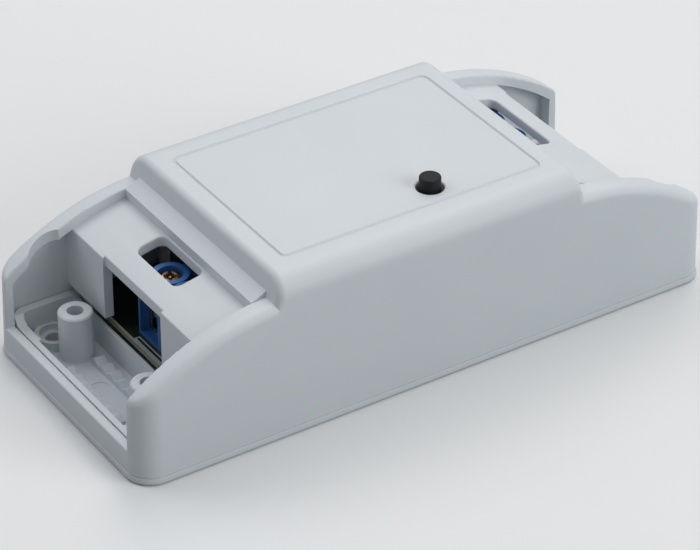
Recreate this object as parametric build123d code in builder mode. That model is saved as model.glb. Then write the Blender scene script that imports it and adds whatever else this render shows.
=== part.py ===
"""Inline Wi-Fi relay switch for mains wiring, with both end covers taken off.

X runs along the housing, the input end at -X, Z is up, and the origin is the
centre of the underside. All sizes are millimetres.
"""

import os
from math import radians, sqrt, tan

from build123d import *

os.makedirs("parts", exist_ok=True)

# Overall size
length = 88.0
width = 38.4
height = 23.1
corner_r = 3.7
well_l = 10.6

# How far a cut runs on past the face that it leaves
past = 1.0

# Base plate
plate_t = 1.2
rim_t = 1.2
rim_gap = 0.12
rim_top = 5.5
rim_end_top = 4.4
rim_corner_r = 2.2
rim_ramp = 0.9
plate_edge = 0.5
catch_x = 12.0
catch_l = 6.0
catch_z = 3.4
catch_h = 1.0
catch_proud = 0.4
catch_clear = 0.1

# Moulded shell
shell_step = 0.15
draft = 1.5
side_wall = 1.45
end_wall = 1.4
roof_t = 1.5
rail_overhang = 2.05
rail_t = 1.45
ledge_z = 4.4
outer_edge_r = 1.4
soft_edge_r = 0.25
hold_down_t = 1.2
hold_down_reach = 2.4
hold_down_top = 14.0
hold_down_clear = 0.05

# Arched side walls and the deck between them
deck_x = length / 2 - well_l
arch_run = 12.2
crest_x = deck_x - arch_run
crest_z = 19.8
arch_r = 35.2
deck_t = 1.4
hold_down_back = 4.4
hold_down_x = deck_x - hold_down_back

# Raised middle of the shell
crown_back = 10.9
crown_x = deck_x - crown_back
crown_root = 1.0
crown_lean = 0.27
crown_long_r = 3.0
crown_end_r = 1.1
terrace_back_z = 20.5
terrace_run = 8.0
terrace_front_x = deck_x - terrace_run
terrace_front_z = 19.5
groove_inset_x = 2.9
groove_inset_y = 5.65
groove_x = crown_x - groove_inset_x
groove_y = width / 2 - groove_inset_y
groove_w = 0.7
groove_depth = 0.25
groove_r = 1.0

# Partition between each well and the board
partition_t = 1.3
partition_foot = 6.7
lip_back = 0.4

# Terminal poles, counted from the +Y end of each block
pole_pitch = 5.08
input_poles = 2
output_poles = 3
input_pole_y = 0.85
output_pole_inset = 9.57
output_pole_y = width / 2 - output_pole_inset

# Windows in the deck, over the terminal screws
window_back = 3.6
window_w = 4.2
window_x_out = deck_x - window_back
window_x_in = window_x_out - window_w
window_r = 1.1
input_window_l = 10.2
input_window_y = 0.4
output_window_l = 13.7
output_window_y = output_pole_y - pole_pitch
input_mouth_l = 14.5
input_mouth_y = 0.45
output_mouth_l = 17.6
output_mouth_y = output_pole_y - pole_pitch

# Cover screw posts in the wells
post_inset = 7.15
post_x = length / 2 - post_inset
post_y = 9.35
post_d = 4.6
post_bore_d = 2.2
post_top = 8.3
post_bore_depth = 6.3
post_foot_r = 0.5
post_top_chamfer = 0.2
ejector_inset = 6.0
ejector_x = length / 2 - ejector_inset
ejector_y = 1.3
ejector_d = 3.0
ejector_depth = 0.1

# Toothed cable grips
tooth_pitch = 2.05
teeth = 7
tooth_h = 0.9
grip_h = 1.6
grip_t = 0.95
outer_grip_inset = 3.4
inner_grip_inset = 8.45
outer_grip_x = length / 2 - outer_grip_inset
inner_grip_x = length / 2 - inner_grip_inset

# Wall mounting holes, at two opposite corners
mount_inset_x = 6.3
mount_inset_y = 5.25
mount_x = length / 2 - mount_inset_x
mount_y = width / 2 - mount_inset_y
mount_boss_d = 5.2
mount_boss_h = 1.3
mount_head_d = 3.9
mount_head_depth = 0.9
mount_hole_d = 2.4
scoop_d = 5.6
scoop_floor = 6.0

# Board and what carries it
cross_wall_back = 0.4
cross_wall_x = deck_x - cross_wall_back
cross_wall_t = 0.6
cross_wall_top = 5.0
board_end_gap = 0.6
board_side_gap = 0.18
board_l = 2 * (cross_wall_x - cross_wall_t / 2 - board_end_gap)
board_w = width - 2 * (shell_step + side_wall + rim_gap + rim_t + board_side_gap)
board_t = 1.2
board_z = 4.85
board_corner_r = 1.0
support_l = 3.0
support_w = 2.6

# Push button and its tact switch
button_x = 4.8
button_y = -10.05
button_d = 2.9
button_hole_d = 3.7
button_proud = 1.6
button_travel = 0.25
tact_w = 6.0
tact_h = 3.4
tact_cover_t = 0.3
tact_well_d = 4.2
tact_well_depth = 1.6
dome_t = 0.2
dome_h = 0.4
foot_d = 3.8
foot_h = 0.8
foot_clear = 0.05
stem_clear = 0.1

# Terminal blocks
terminal_depth = 7.6
terminal_back = 6.4
terminal_x = deck_x - terminal_back
terminal_h = 9.4
terminal_body_h = 8.0
terminal_wall = 0.68
terminal_edge_r = 0.4
tower_offset = 0.45
tower_x = terminal_x + tower_offset
tower_d = 5.0
tower_bore_d = 3.4
tower_bore_depth = 2.05
cell_floor = 0.5
screw_head_d = 3.1
screw_head_h = 1.6
screw_d = 2.4
screw_slot_w = 0.5
screw_slot_depth = 0.6
screw_seat_gap = 0.05
thread_clear = 0.06
bore_clear = 0.15
clamp_l = 4.0
clamp_h = 4.0
clamp_side = 0.6
clamp_top_t = 0.9
clamp_bottom_t = 0.5
clamp_clear = 0.15
clamp_travel = 1.3
clamp_roof_gap = 0.1
tongue_t = 0.5
tongue_w = 2.4
tongue_drop = 0.2
tongue_gap = 0.05
tail_offset = 2.6
tail_x = terminal_x - tail_offset
tail_w = 1.0
tail_t = 0.6
tail_below = 1.3
tail_clear = 0.15

# Round leads and their holes
lead_d = 0.7
lead_hole_d = 1.0

# Relay
relay_l = 19.0
relay_w = 15.4
relay_h = 15.0
relay_x = 11.2
relay_y = 2.4
relay_wall = 0.6
relay_edge_r = 0.5
relay_base_t = 2.0
bobbin_h = 8.8
bobbin_t = 0.8
bobbin_d = 8.2
bobbin_core_d = 4.4
winding_d = 7.6
core_d = 3.2
pole_d = 5.2
pole_t = 0.5
yoke_t = 1.2
yoke_gap = 0.4
yoke_x = relay_x - relay_l / 2 + relay_wall + yoke_gap + yoke_t / 2
coil_offset = 4.9
coil_x = yoke_x + coil_offset
yoke_w = 8.0
armature_t = 1.0
armature_w = 8.0
armature_gap = 0.3
blade_t = 0.2
blade_w = 3.0
contact_offset = 7.9
contact_x = coil_x + contact_offset
contact_d = 1.6
contact_h = 0.6
contact_gap = 0.45
contact_post_w = 3.0
contact_post_t = 0.8
relay_pin_inset = 1.9
relay_coil_pin_y = 4.0
relay_load_pin_y = 5.0
relay_load_pin_x = 1.5

# Supply side of the board
transformer_x = -8.6
transformer_y = 7.4
transformer_l = 13.2
transformer_w = 6.4
transformer_h = 12.0
transformer_leg = 2.6
transformer_former_w = 12.0
transformer_rail_w = 2.4
former_gap = 0.1
former_t = 0.7
capacitor_d = 7.0
capacitor_h = 11.5
capacitor_x = -19.2
capacitor_y = (11.2, 2.4)
capacitor_groove = 0.3
capacitor_edge_r = 0.5
inductor_x = -12.6
inductor_y = -11.6
inductor_d = 7.6
inductor_h = 8.4
inductor_flange_t = 1.2
inductor_waist_d = 4.0
inductor_winding_d = 6.8
varistor_x = -18.6
varistor_y = -6.2
varistor_d = 9.0
varistor_t = 3.4
varistor_stand = 1.0
varistor_edge_r = 1.0
resistor_x = -26.0
resistor_y = -12.8
resistor_d = 3.0
resistor_l = 8.4
resistor_cap_l = 1.6
resistor_waist = 0.2
rectifier_x = -4.6
rectifier_y = -11.6
rectifier_l = 6.4
rectifier_w = 4.8
rectifier_h = 2.4
optocoupler_x = -10.2
optocoupler_y = -3.0
optocoupler_l = 6.4
optocoupler_w = 4.4
optocoupler_h = 3.2
chip_edge = 0.3
chip_dot_d = 0.8
chip_dot_depth = 0.15

# Radio side of the board
module_x = 15.4
module_y = -11.2
module_l = 13.6
module_w = 8.6
module_t = 0.8
shield_l = 9.4
shield_w = 7.4
shield_h = 1.8
shield_t = 0.2
shield_edge_r = 0.4
radio_chip_w = 5.0
radio_chip_t = 0.9
led_x = 0.1
led_y = -14.4
led_l = 1.6
led_w = 0.8
led_h = 0.6
header_x = 4.6
header_y = 13.6
header_pins = 4
header_pitch = 2.54
header_h = 2.5
header_pin_w = 0.64
header_pin_up = 6.0

board_top = board_z + board_t
terminals = (
    ("input", -1, input_pole_y, input_poles),
    ("output", 1, output_pole_y, output_poles),
)
side_pairs = [(sx, sy) for sx in (-1, 1) for sy in (-1, 1)]
relay_left = relay_x - relay_l / 2 + relay_pin_inset
relay_right = contact_x + relay_load_pin_x
relay_pins = [
    *[(relay_left, relay_y + side * relay_coil_pin_y) for side in (-1, 1)],
    *[(relay_right, relay_y + side * relay_load_pin_y) for side in (-1, 1)],
    (relay_right + relay_wall, relay_y),
]
tact_legs = [(button_x + sx * tact_w / 2, button_y + sy * tact_w / 3) for sx, sy in side_pairs]
capacitor_leads = [(capacitor_x, y + side * capacitor_d / 4) for y in capacitor_y for side in (-1, 1)]
varistor_leads = [(varistor_x, varistor_y + side * varistor_d / 4) for side in (-1, 1)]
inductor_leads = [(inductor_x + side * inductor_d / 4, inductor_y) for side in (-1, 1)]
resistor_leads = [(resistor_x + side * resistor_l / 3, resistor_y) for side in (-1, 1)]
chips = (
    ("bridge_rectifier", rectifier_x, rectifier_y, rectifier_l, rectifier_w, rectifier_h),
    ("optocoupler", optocoupler_x, optocoupler_y, optocoupler_l, optocoupler_w, optocoupler_h),
)
chip_leads = [(x + sx * l / 3, y + sy * w / 3) for name, x, y, l, w, h in chips for sx, sy in side_pairs]
rail_y = (transformer_w + transformer_rail_w) / 2 + former_gap
transformer_leads = [
    (transformer_x + sx * transformer_l / 3, transformer_y + sy * rail_y) for sx, sy in side_pairs
]
header_rows = [header_x + (pin - (header_pins - 1) / 2) * header_pitch for pin in range(header_pins)]
round_leads = [
    *capacitor_leads, *varistor_leads, *inductor_leads, *resistor_leads, *chip_leads, *transformer_leads,
]
shell_l = length - 2 * shell_step
shell_w = width - 2 * shell_step
shell_r = corner_r - shell_step
pocket_half = shell_w / 2 - side_wall
rail_half = pocket_half - rail_overhang
well_end = shell_l / 2 - end_wall
cavity_x = deck_x - partition_t
rim_half_l = well_end - rim_gap
rim_half_w = pocket_half - rim_gap
terrace_back_x = crown_x + (height - terrace_back_z) * crown_lean
cell_h = tongue_gap + clamp_h + clamp_travel + clamp_roof_gap


def arch_height(x, drop):
    """Height of the end arch at distance x from the middle, drop below its top."""
    return crest_z - arch_r + sqrt((arch_r - drop) ** 2 - (x - crest_x) ** 2)


def arch_points(end, drop, x_near, x_far):
    """Start, middle and end of the arch between two distances from the middle."""
    stations = (x_near, (x_near + x_far) / 2, x_far)
    return [(end * x, arch_height(x, drop)) for x in stations]


def side_half(z):
    """Half width of the shell's drafted outside at height z."""
    return shell_w / 2 - (z - plate_t) * tan(radians(draft))


def pole_y(first, pole):
    """Y of one terminal pole, counted from the block's +Y end."""
    return first - pole * pole_pitch


def board_leads(points):
    """Round component leads that pass down through the board."""
    with BuildPart() as leads:
        with BuildSketch(Plane.XY.offset(board_z - tail_below)):
            with Locations(*points):
                Circle(lead_d / 2)
        extrude(amount=board_t + tail_below)
    return leads.part


def is_soft_edge(edge):
    """True for the edges of a deck, a ledge or the button hole that the mould rounds."""
    middle = edge.position_at(0.5)
    x = abs(middle.X)
    y = abs(middle.Y)
    on_deck = terrace_front_x + shell_step < x < deck_x + shell_step and y < rail_half - shell_step
    if on_deck and abs(middle.Z - arch_height(x, rail_t)) < shell_step:
        return True
    if x > well_end - shell_step and y < rail_half - shell_step:
        return abs(middle.Z - ledge_z) < shell_step
    from_button = Vector(middle.X - button_x, middle.Y - button_y, middle.Z - height).length
    return from_button < button_hole_d / 2 + shell_step


# The raised middle: a rounded section with leaning ends
with BuildPart() as crown:
    crown_foot = crest_z - outer_edge_r - crown_root
    foot_x = crown_x + (height - crown_foot) * crown_lean
    with BuildSketch(Plane.YZ) as crown_section:
        with BuildLine():
            Polyline(
                (-side_half(crown_foot), crown_foot),
                (-side_half(height), height),
                (side_half(height), height),
                (side_half(crown_foot), crown_foot),
                close=True,
            )
        make_face()
        fillet(crown_section.vertices().group_by(Axis.Y)[-1], crown_long_r)
    extrude(amount=foot_x, both=True)
    with BuildSketch(Plane.XZ):
        with BuildLine():
            Polyline(
                (-foot_x, crown_foot),
                (-crown_x, height),
                (crown_x, height),
                (foot_x, crown_foot),
                close=True,
            )
        make_face()
    extrude(amount=width, both=True, mode=Mode.INTERSECT)
    rims = crown.faces().filter_by(lambda f: abs(f.normal_at().X) > 0.9).edges()
    fillet(rims.filter_by(lambda e: e.center().Z > height - crown_long_r), crown_end_r)

# The room for the board under the deck and the crown
with BuildPart() as board_room:
    with BuildSketch(Plane.XZ):
        with BuildLine():
            under = rail_t + deck_t
            knee_x = terrace_front_x - roof_t
            inner_top = height - roof_t
            Polyline((-cavity_x, 0), (cavity_x, 0), (cavity_x, arch_height(cavity_x, under)))
            ThreePointArc(*arch_points(1, under, cavity_x, knee_x))
            Polyline(
                (knee_x, arch_height(knee_x, under)),
                (terrace_back_x - roof_t, terrace_front_z - roof_t / 2),
                (crown_x - roof_t, inner_top),
                (roof_t - crown_x, inner_top),
                (roof_t - terrace_back_x, terrace_front_z - roof_t / 2),
                (-knee_x, arch_height(knee_x, under)),
            )
            ThreePointArc(*arch_points(-1, under, knee_x, cavity_x))
            Line((-cavity_x, arch_height(cavity_x, under)), (-cavity_x, 0))
        make_face()
    extrude(amount=pocket_half, both=True)
    with BuildSketch(Plane.YZ) as room_section:
        with Locations((0, inner_top / 2)):
            Rectangle(2 * pocket_half, inner_top)
        fillet(room_section.vertices().group_by(Axis.Y)[-1], crown_long_r)
    extrude(amount=length, both=True, mode=Mode.INTERSECT)

with BuildPart() as upper_housing:
    # Drafted body, cut down to the arches at both ends
    with BuildSketch(Plane.XY.offset(plate_t)):
        RectangleRounded(shell_l, shell_w, shell_r)
    extrude(amount=crest_z - plate_t, taper=draft)
    for end in (-1, 1):
        with BuildSketch(Plane.XZ):
            with BuildLine():
                arch = ThreePointArc(*arch_points(end, 0, crest_x, length / 2 + past))
                Polyline(arch @ 1, (end * (length / 2 + past), height), (end * crest_x, height), arch @ 0)
            make_face()
        extrude(amount=width, both=True, mode=Mode.SUBTRACT)
    top_edges = upper_housing.edges().filter_by(lambda e: e.center().Z > plate_t + ledge_z)
    top_edges = top_edges.filter_by(
        lambda e: abs(e.center().Y) > past or abs(e.center().X) > crest_x + past
    )
    fillet(top_edges.filter_by(lambda e: not e.is_interior), outer_edge_r)
    # Channel between the side rails, down to the deck
    for end in (-1, 1):
        with BuildSketch(Plane.XZ):
            with BuildLine():
                deck = ThreePointArc(*arch_points(end, rail_t, crest_x + past, deck_x + past))
                Polyline(
                    deck @ 1,
                    (end * (deck_x + past), height),
                    (end * (crest_x + past), height),
                    deck @ 0,
                )
            make_face()
        extrude(amount=rail_half, both=True, mode=Mode.SUBTRACT)
    # Wells at both ends, from the ledge up
    for end in (-1, 1):
        well_mid = (deck_x + length / 2 + past) / 2
        with BuildSketch(Plane.XY.offset(ledge_z)):
            with Locations((end * well_mid, 0)):
                Rectangle(length / 2 + past - deck_x, 2 * rail_half)
        extrude(amount=height, mode=Mode.SUBTRACT)
    rail_edges = upper_housing.edges().filter_by(lambda e: not e.is_interior)
    rail_edges = rail_edges.filter_by(lambda e: abs(abs(e.position_at(0.5).Y) - rail_half) < shell_step)
    fillet(rail_edges, soft_edge_r)
    add(crown.part)
    # Sloping terrace between the crown and the deck
    for end in (-1, 1):
        with BuildSketch(Plane.XZ):
            with BuildLine():
                Polyline(
                    (end * crest_x, arch_height(crest_x, rail_t + deck_t)),
                    (end * crest_x, terrace_back_z),
                    (end * terrace_back_x, terrace_back_z),
                    (end * terrace_front_x, terrace_front_z),
                    (end * terrace_front_x, arch_height(terrace_front_x, rail_t + deck_t)),
                    close=True,
                )
            make_face()
        extrude(amount=rail_half, both=True)
    # Pockets under the rails, beside the wells
    for end in (-1, 1):
        with BuildSketch(Plane.XZ):
            with BuildLine():
                pocket = ThreePointArc(*arch_points(end, rail_t, deck_x, well_end))
                Polyline(pocket @ 1, (end * well_end, 0), (end * deck_x, 0), pocket @ 0)
            make_face()
        extrude(amount=pocket_half, both=True, mode=Mode.SUBTRACT)
    # Room for the board, and the gap under each partition
    add(board_room.part, mode=Mode.SUBTRACT)
    with BuildSketch():
        Rectangle(2 * deck_x, 2 * pocket_half)
    extrude(amount=partition_foot, mode=Mode.SUBTRACT)
    # Wire mouths through the partitions, with the deck set back above them
    for end, mouth_l, mouth_y in (
        (-1, input_mouth_l, input_mouth_y),
        (1, output_mouth_l, output_mouth_y),
    ):
        with BuildSketch(Plane.XZ.offset(-mouth_y)):
            with BuildLine():
                mouth = ThreePointArc(*arch_points(end, rail_t + deck_t, cavity_x - past, deck_x + past))
                Polyline(mouth @ 1, (end * (deck_x + past), 0), (end * (cavity_x - past), 0), mouth @ 0)
            make_face()
        extrude(amount=mouth_l / 2, both=True, mode=Mode.SUBTRACT)
        with BuildSketch(Plane.XY.offset(partition_foot)):
            with Locations((end * (deck_x + (past - lip_back) / 2), mouth_y)):
                Rectangle(lip_back + past, mouth_l)
        extrude(amount=height, mode=Mode.SUBTRACT)
    # Screwdriver windows in the deck
    window_x = (window_x_in + window_x_out) / 2
    for end, window_l, window_y in (
        (-1, input_window_l, input_window_y),
        (1, output_window_l, output_window_y),
    ):
        with BuildSketch(Plane.XY.offset(partition_foot)):
            with Locations((end * window_x, window_y)):
                RectangleRounded(window_x_out - window_x_in, window_l, window_r)
        extrude(amount=height, mode=Mode.SUBTRACT)
    # Label groove and button hole in the flat top
    with BuildSketch(Plane.XY.offset(height)):
        RectangleRounded(2 * groove_x + groove_w, 2 * groove_y + groove_w, groove_r + groove_w / 2)
        RectangleRounded(
            2 * groove_x - groove_w,
            2 * groove_y - groove_w,
            groove_r - groove_w / 2,
            mode=Mode.SUBTRACT,
        )
    extrude(amount=-groove_depth, mode=Mode.SUBTRACT)
    with Locations((button_x, button_y, height)):
        Hole(button_hole_d / 2, roof_t + past)
    # Screwdriver scoops in the rails, over the two mounting holes
    with BuildSketch(Plane.XY.offset(scoop_floor)):
        with Locations((-mount_x, mount_y), (mount_x, -mount_y)):
            Circle(scoop_d / 2)
    extrude(amount=height, mode=Mode.SUBTRACT)
    # Ribs that hold the board down, and slots for the base plate's catches
    with BuildSketch(Plane.XY.offset(board_top + hold_down_clear)):
        with GridLocations(2 * hold_down_x, 2 * pocket_half - hold_down_reach, 2, 2):
            Rectangle(hold_down_t, hold_down_reach)
    extrude(amount=hold_down_top - board_top)
    with BuildSketch(Plane.YZ):
        with Locations((-pocket_half, catch_z), (pocket_half, catch_z)):
            Rectangle(2 * catch_proud, catch_h + 2 * catch_clear)
    extrude(amount=catch_x + catch_l / 2 + catch_clear, both=True, mode=Mode.SUBTRACT)
    # Soft edges round the windows, the button hole, the decks' fronts and the ledges
    soft_edges = upper_housing.edges().filter_by(is_soft_edge)
    fillet(soft_edges, soft_edge_r)
upper_housing.part.label = "upper_housing"
export_step(upper_housing.part, "parts/upper_housing.step")

with BuildPart() as base_plate:
    with BuildSketch():
        RectangleRounded(length, width, corner_r)
    extrude(amount=plate_t)
    fillet(base_plate.edges().group_by(Axis.Z)[0], plate_edge)
    # Rim that the shell slides over, lowered between the end posts
    with BuildSketch(Plane.XY.offset(plate_t)):
        RectangleRounded(2 * rim_half_l, 2 * rim_half_w, rim_corner_r)
        offset(amount=-rim_t, mode=Mode.SUBTRACT)
    extrude(amount=rim_top - plate_t)
    with BuildSketch(Plane.YZ):
        with BuildLine():
            Polyline(
                (-rail_half + rim_ramp, rim_end_top),
                (rail_half - rim_ramp, rim_end_top),
                (rail_half + rim_ramp / 2, rim_top),
                (-rail_half - rim_ramp / 2, rim_top),
                close=True,
            )
        make_face()
    extrude(amount=length, both=True, mode=Mode.SUBTRACT)
    # Catches along the rim's sides, which lock the shell down
    for end in (-1, 1):
        with BuildSketch(Plane.YZ.offset(end * catch_x)):
            for side in (-1, 1):
                with BuildLine():
                    catch_y = side * (pocket_half - rim_gap - catch_clear)
                    Polyline(
                        (catch_y, catch_z - catch_h / 2),
                        (side * (pocket_half - rim_gap), catch_z - catch_h / 2),
                        (side * (pocket_half - rim_gap + catch_proud), catch_z - catch_h / 4),
                        (side * (pocket_half - rim_gap), catch_z + catch_h / 2),
                        (catch_y, catch_z + catch_h / 2),
                        close=True,
                    )
                make_face()
        extrude(amount=catch_l / 2, both=True)
    # Cross walls at the board's ends
    for end in (-1, 1):
        with BuildSketch(Plane.XY.offset(plate_t)):
            with Locations((end * cross_wall_x, 0)):
                Rectangle(cross_wall_t, 2 * rim_half_w - rim_t)
        extrude(amount=cross_wall_top - plate_t)
    # Board supports along both sides
    with BuildSketch(Plane.XY.offset(plate_t)):
        with GridLocations(board_l - support_l, board_w - support_w, 2, 2):
            Rectangle(support_l, support_w)
        with GridLocations(board_l / 3, board_w - support_w, 2, 2):
            Rectangle(support_l, support_w)
    extrude(amount=board_z - plate_t)
    # Posts for the cover screws
    with BuildSketch(Plane.XY.offset(plate_t)):
        with GridLocations(2 * post_x, 2 * post_y, 2, 2):
            Circle(post_d / 2)
    extrude(amount=post_top - plate_t)
    rounds = base_plate.edges().filter_by(GeomType.CIRCLE)
    chamfer(rounds.filter_by_position(Axis.Z, post_top, post_top), post_top_chamfer)
    feet = base_plate.edges().filter_by(GeomType.CIRCLE).filter_by_position(Axis.Z, plate_t, plate_t)
    fillet(feet.filter_by(lambda e: abs(e.arc_center.Y) < post_y + past), post_foot_r)
    # Toothed grips across the cable path
    grip_half = teeth * tooth_pitch / 2
    valley_z = plate_t + grip_h
    outline = [(-grip_half, plate_t), (-grip_half, valley_z)]
    for tooth in range(teeth):
        valley_y = (tooth + 1) * tooth_pitch - grip_half
        outline += [(valley_y - tooth_pitch / 2, valley_z + tooth_h), (valley_y, valley_z)]
    outline.append((grip_half, plate_t))
    for end in (-1, 1):
        for grip_x in (outer_grip_x, inner_grip_x):
            with BuildSketch(Plane.YZ.offset(end * grip_x - grip_t / 2)):
                with BuildLine():
                    Polyline(*outline, close=True)
                make_face()
            extrude(amount=grip_t)
    # Screw bores, and the mounting holes with their bosses
    with Locations(*[(x, y, post_top) for x in (-post_x, post_x) for y in (-post_y, post_y)]):
        Hole(post_bore_d / 2, post_bore_depth)
    with BuildSketch(Plane.XY.offset(plate_t)):
        with Locations((-mount_x, mount_y), (mount_x, -mount_y)):
            Circle(mount_boss_d / 2)
    extrude(amount=mount_boss_h)
    boss_top = plate_t + mount_boss_h
    with Locations((-mount_x, mount_y, boss_top), (mount_x, -mount_y, boss_top)):
        CounterBoreHole(mount_hole_d / 2, mount_head_d / 2, mount_head_depth, boss_top)
    # Shallow round marks that the mould's pins leave in the floor
    with Locations((-ejector_x, ejector_y, plate_t), (ejector_x, -ejector_y, plate_t)):
        Hole(ejector_d / 2, ejector_depth)
base_plate.part.label = "base_plate"
export_step(base_plate.part, "parts/base_plate.step")

with BuildPart() as circuit_board:
    with BuildSketch(Plane.XY.offset(board_z)):
        RectangleRounded(board_l, board_w, board_corner_r)
        with Locations(*round_leads, *tact_legs, *relay_pins, *[(x, header_y) for x in header_rows]):
            Circle(lead_hole_d / 2, mode=Mode.SUBTRACT)
        for name, end, first, poles in terminals:
            with Locations(*[(end * tail_x, pole_y(first, pole)) for pole in range(poles)]):
                Rectangle(tail_t + 2 * tail_clear, tail_w + 2 * tail_clear, mode=Mode.SUBTRACT)
    extrude(amount=board_t)
circuit_board.part.label = "circuit_board"
export_step(circuit_board.part, "parts/circuit_board.step")

# Screw terminals with rising cages: the screw bears on a fixed tongue and lifts its cage
seat_z = board_top + terminal_h - tower_bore_depth
cell_z = board_top + cell_floor
clamp_z = cell_z + tongue_gap
tongue_top = clamp_z + clamp_h - clamp_top_t - tongue_drop
cell_w = pole_pitch - terminal_wall
for name, end, first, poles in terminals:
    block_w = poles * pole_pitch + terminal_wall / 4
    block_y = first - (poles - 1) * pole_pitch / 2
    rows = [pole_y(first, pole) for pole in range(poles)]
    with BuildPart() as terminal_block:
        with BuildSketch(Plane.XY.offset(board_top)):
            with Locations((end * terminal_x, block_y)):
                Rectangle(terminal_depth, block_w)
        extrude(amount=terminal_body_h)
        fillet(terminal_block.edges().filter_by(Axis.Y).group_by(Axis.Z)[-1], terminal_edge_r)
        with BuildSketch(Plane.XY.offset(board_top + cell_h)):
            with Locations(*[(end * tower_x, y) for y in rows]):
                Circle(tower_d / 2)
        extrude(amount=terminal_h - cell_h)
        # Wire cells, open at the front, each with a slot for its solder tail
        front_x = terminal_x + terminal_depth / 2
        back_x = terminal_x - terminal_depth / 2 + terminal_wall
        with BuildSketch(Plane.XY.offset(cell_z)):
            with Locations(*[(end * (front_x + back_x) / 2, y) for y in rows]):
                Rectangle(front_x - back_x, cell_w)
        extrude(amount=cell_h, mode=Mode.SUBTRACT)
        with BuildSketch(Plane.XY.offset(board_top)):
            with Locations(*[(end * tail_x, y) for y in rows]):
                Rectangle(tail_t + 2 * tail_clear, tail_w + 2 * tail_clear)
        extrude(amount=cell_floor, mode=Mode.SUBTRACT)
        # Screwdriver bores down to the head seat, and the shank holes below
        shank_hole_r = screw_d / 2 + bore_clear
        with Locations(*[(end * tower_x, y, board_top + terminal_h) for y in rows]):
            CounterBoreHole(shank_hole_r, tower_bore_d / 2, tower_bore_depth, terminal_h - cell_h)
    terminal_block.part.label = name + "_terminal_block"
    export_step(terminal_block.part, "parts/" + name + "_terminal_block.step")

    with BuildPart() as terminal_contacts:
        tongue_reach = tower_x + clamp_l / 2
        tail_back = tail_x - tail_t / 2
        with BuildSketch(Plane.XY.offset(tongue_top - tongue_t)):
            with Locations(*[(end * (tongue_reach + tail_back) / 2, y) for y in rows]):
                Rectangle(tongue_reach - tail_back, tongue_w)
        extrude(amount=tongue_t)
        with BuildSketch(Plane.XY.offset(board_z - tail_below)):
            with Locations(*[(end * tail_x, y) for y in rows]):
                Rectangle(tail_t, tail_w)
        extrude(amount=tongue_top - board_z + tail_below)
    terminal_contacts.part.label = name + "_terminal_contacts"
    export_step(terminal_contacts.part, "parts/" + name + "_terminal_contacts.step")

    for pole, y in enumerate(rows):
        with BuildPart() as terminal_screw:
            with BuildSketch(Plane.XY.offset(seat_z + screw_seat_gap)):
                with Locations((end * tower_x, y)):
                    Circle(screw_head_d / 2)
            extrude(amount=screw_head_h)
            chamfer(terminal_screw.edges().group_by(Axis.Z)[-1], screw_slot_w / 3)
            with BuildSketch(Plane.XY.offset(tongue_top + tongue_gap)):
                with Locations((end * tower_x, y)):
                    Circle(screw_d / 2)
            extrude(amount=seat_z + screw_head_h / 2 - tongue_top)
            with BuildSketch(Plane.XY.offset(seat_z + screw_seat_gap + screw_head_h)):
                with Locations((end * tower_x, y)):
                    Rectangle(screw_head_d, screw_slot_w)
                    Rectangle(screw_slot_w, screw_head_d)
            extrude(amount=-screw_slot_depth, mode=Mode.SUBTRACT)
        screw_name = name + "_screw_" + str(pole + 1)
        terminal_screw.part.label = screw_name
        export_step(terminal_screw.part, "parts/" + screw_name + ".step")

        with BuildPart() as clamp_cage:
            cage_w = cell_w - 2 * clamp_clear
            window_h = clamp_h - clamp_top_t - clamp_bottom_t
            with BuildSketch(Plane.YZ.offset(end * tower_x - clamp_l / 2)):
                with Locations((y, clamp_z + clamp_h / 2)):
                    Rectangle(cage_w, clamp_h)
                with Locations((y, clamp_z + clamp_bottom_t + window_h / 2)):
                    Rectangle(cage_w - 2 * clamp_side, window_h, mode=Mode.SUBTRACT)
            extrude(amount=clamp_l)
            with Locations((end * tower_x, y, clamp_z + clamp_h)):
                Hole(screw_d / 2 + thread_clear, clamp_top_t + tongue_drop / 2)
        clamp_name = name + "_clamp_" + str(pole + 1)
        clamp_cage.part.label = clamp_name
        export_step(clamp_cage.part, "parts/" + clamp_name + ".step")

# Tact switch and the long button stem that comes up through the top
tact_top = board_top + tact_h
dome_z = tact_top - tact_well_depth
with BuildPart() as tact_switch_body:
    with BuildSketch(Plane.XY.offset(board_top)):
        with Locations((button_x, button_y)):
            RectangleRounded(tact_w, tact_w, tact_cover_t)
    extrude(amount=tact_h)
    with Locations((button_x, button_y, tact_top)):
        Hole(tact_well_d / 2, tact_well_depth)
tact_switch_body.part.label = "tact_switch_body"
export_step(tact_switch_body.part, "parts/tact_switch_body.step")

with BuildPart() as tact_switch_cover:
    with BuildSketch(Plane.XY.offset(tact_top)):
        with Locations((button_x, button_y)):
            RectangleRounded(tact_w, tact_w, tact_cover_t)
            Circle(button_d / 2 + stem_clear, mode=Mode.SUBTRACT)
    extrude(amount=tact_cover_t)
tact_switch_cover.part.label = "tact_switch_cover"
export_step(tact_switch_cover.part, "parts/tact_switch_cover.step")

with BuildPart() as tact_switch_dome:
    with BuildSketch(Plane.XZ):
        with BuildLine():
            dome_r = tact_well_d / 2 - stem_clear
            rise = dome_h - dome_t
            ThreePointArc((-dome_r, 0), (0, rise), (dome_r, 0))
            Line((dome_r, 0), (dome_r, dome_t))
            ThreePointArc((dome_r, dome_t), (0, dome_h), (-dome_r, dome_t))
            Line((-dome_r, dome_t), (-dome_r, 0))
        make_face()
        split(bisect_by=Plane.YZ)
    revolve(axis=Axis.Z)
tact_switch_dome.part = tact_switch_dome.part.moved(Location((button_x, button_y, dome_z)))
tact_switch_dome.part.label = "tact_switch_dome"
export_step(tact_switch_dome.part, "parts/tact_switch_dome.step")

with BuildPart() as tact_switch_legs:
    add(board_leads(tact_legs))
tact_switch_legs.part.label = "tact_switch_legs"
export_step(tact_switch_legs.part, "parts/tact_switch_legs.step")

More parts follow.
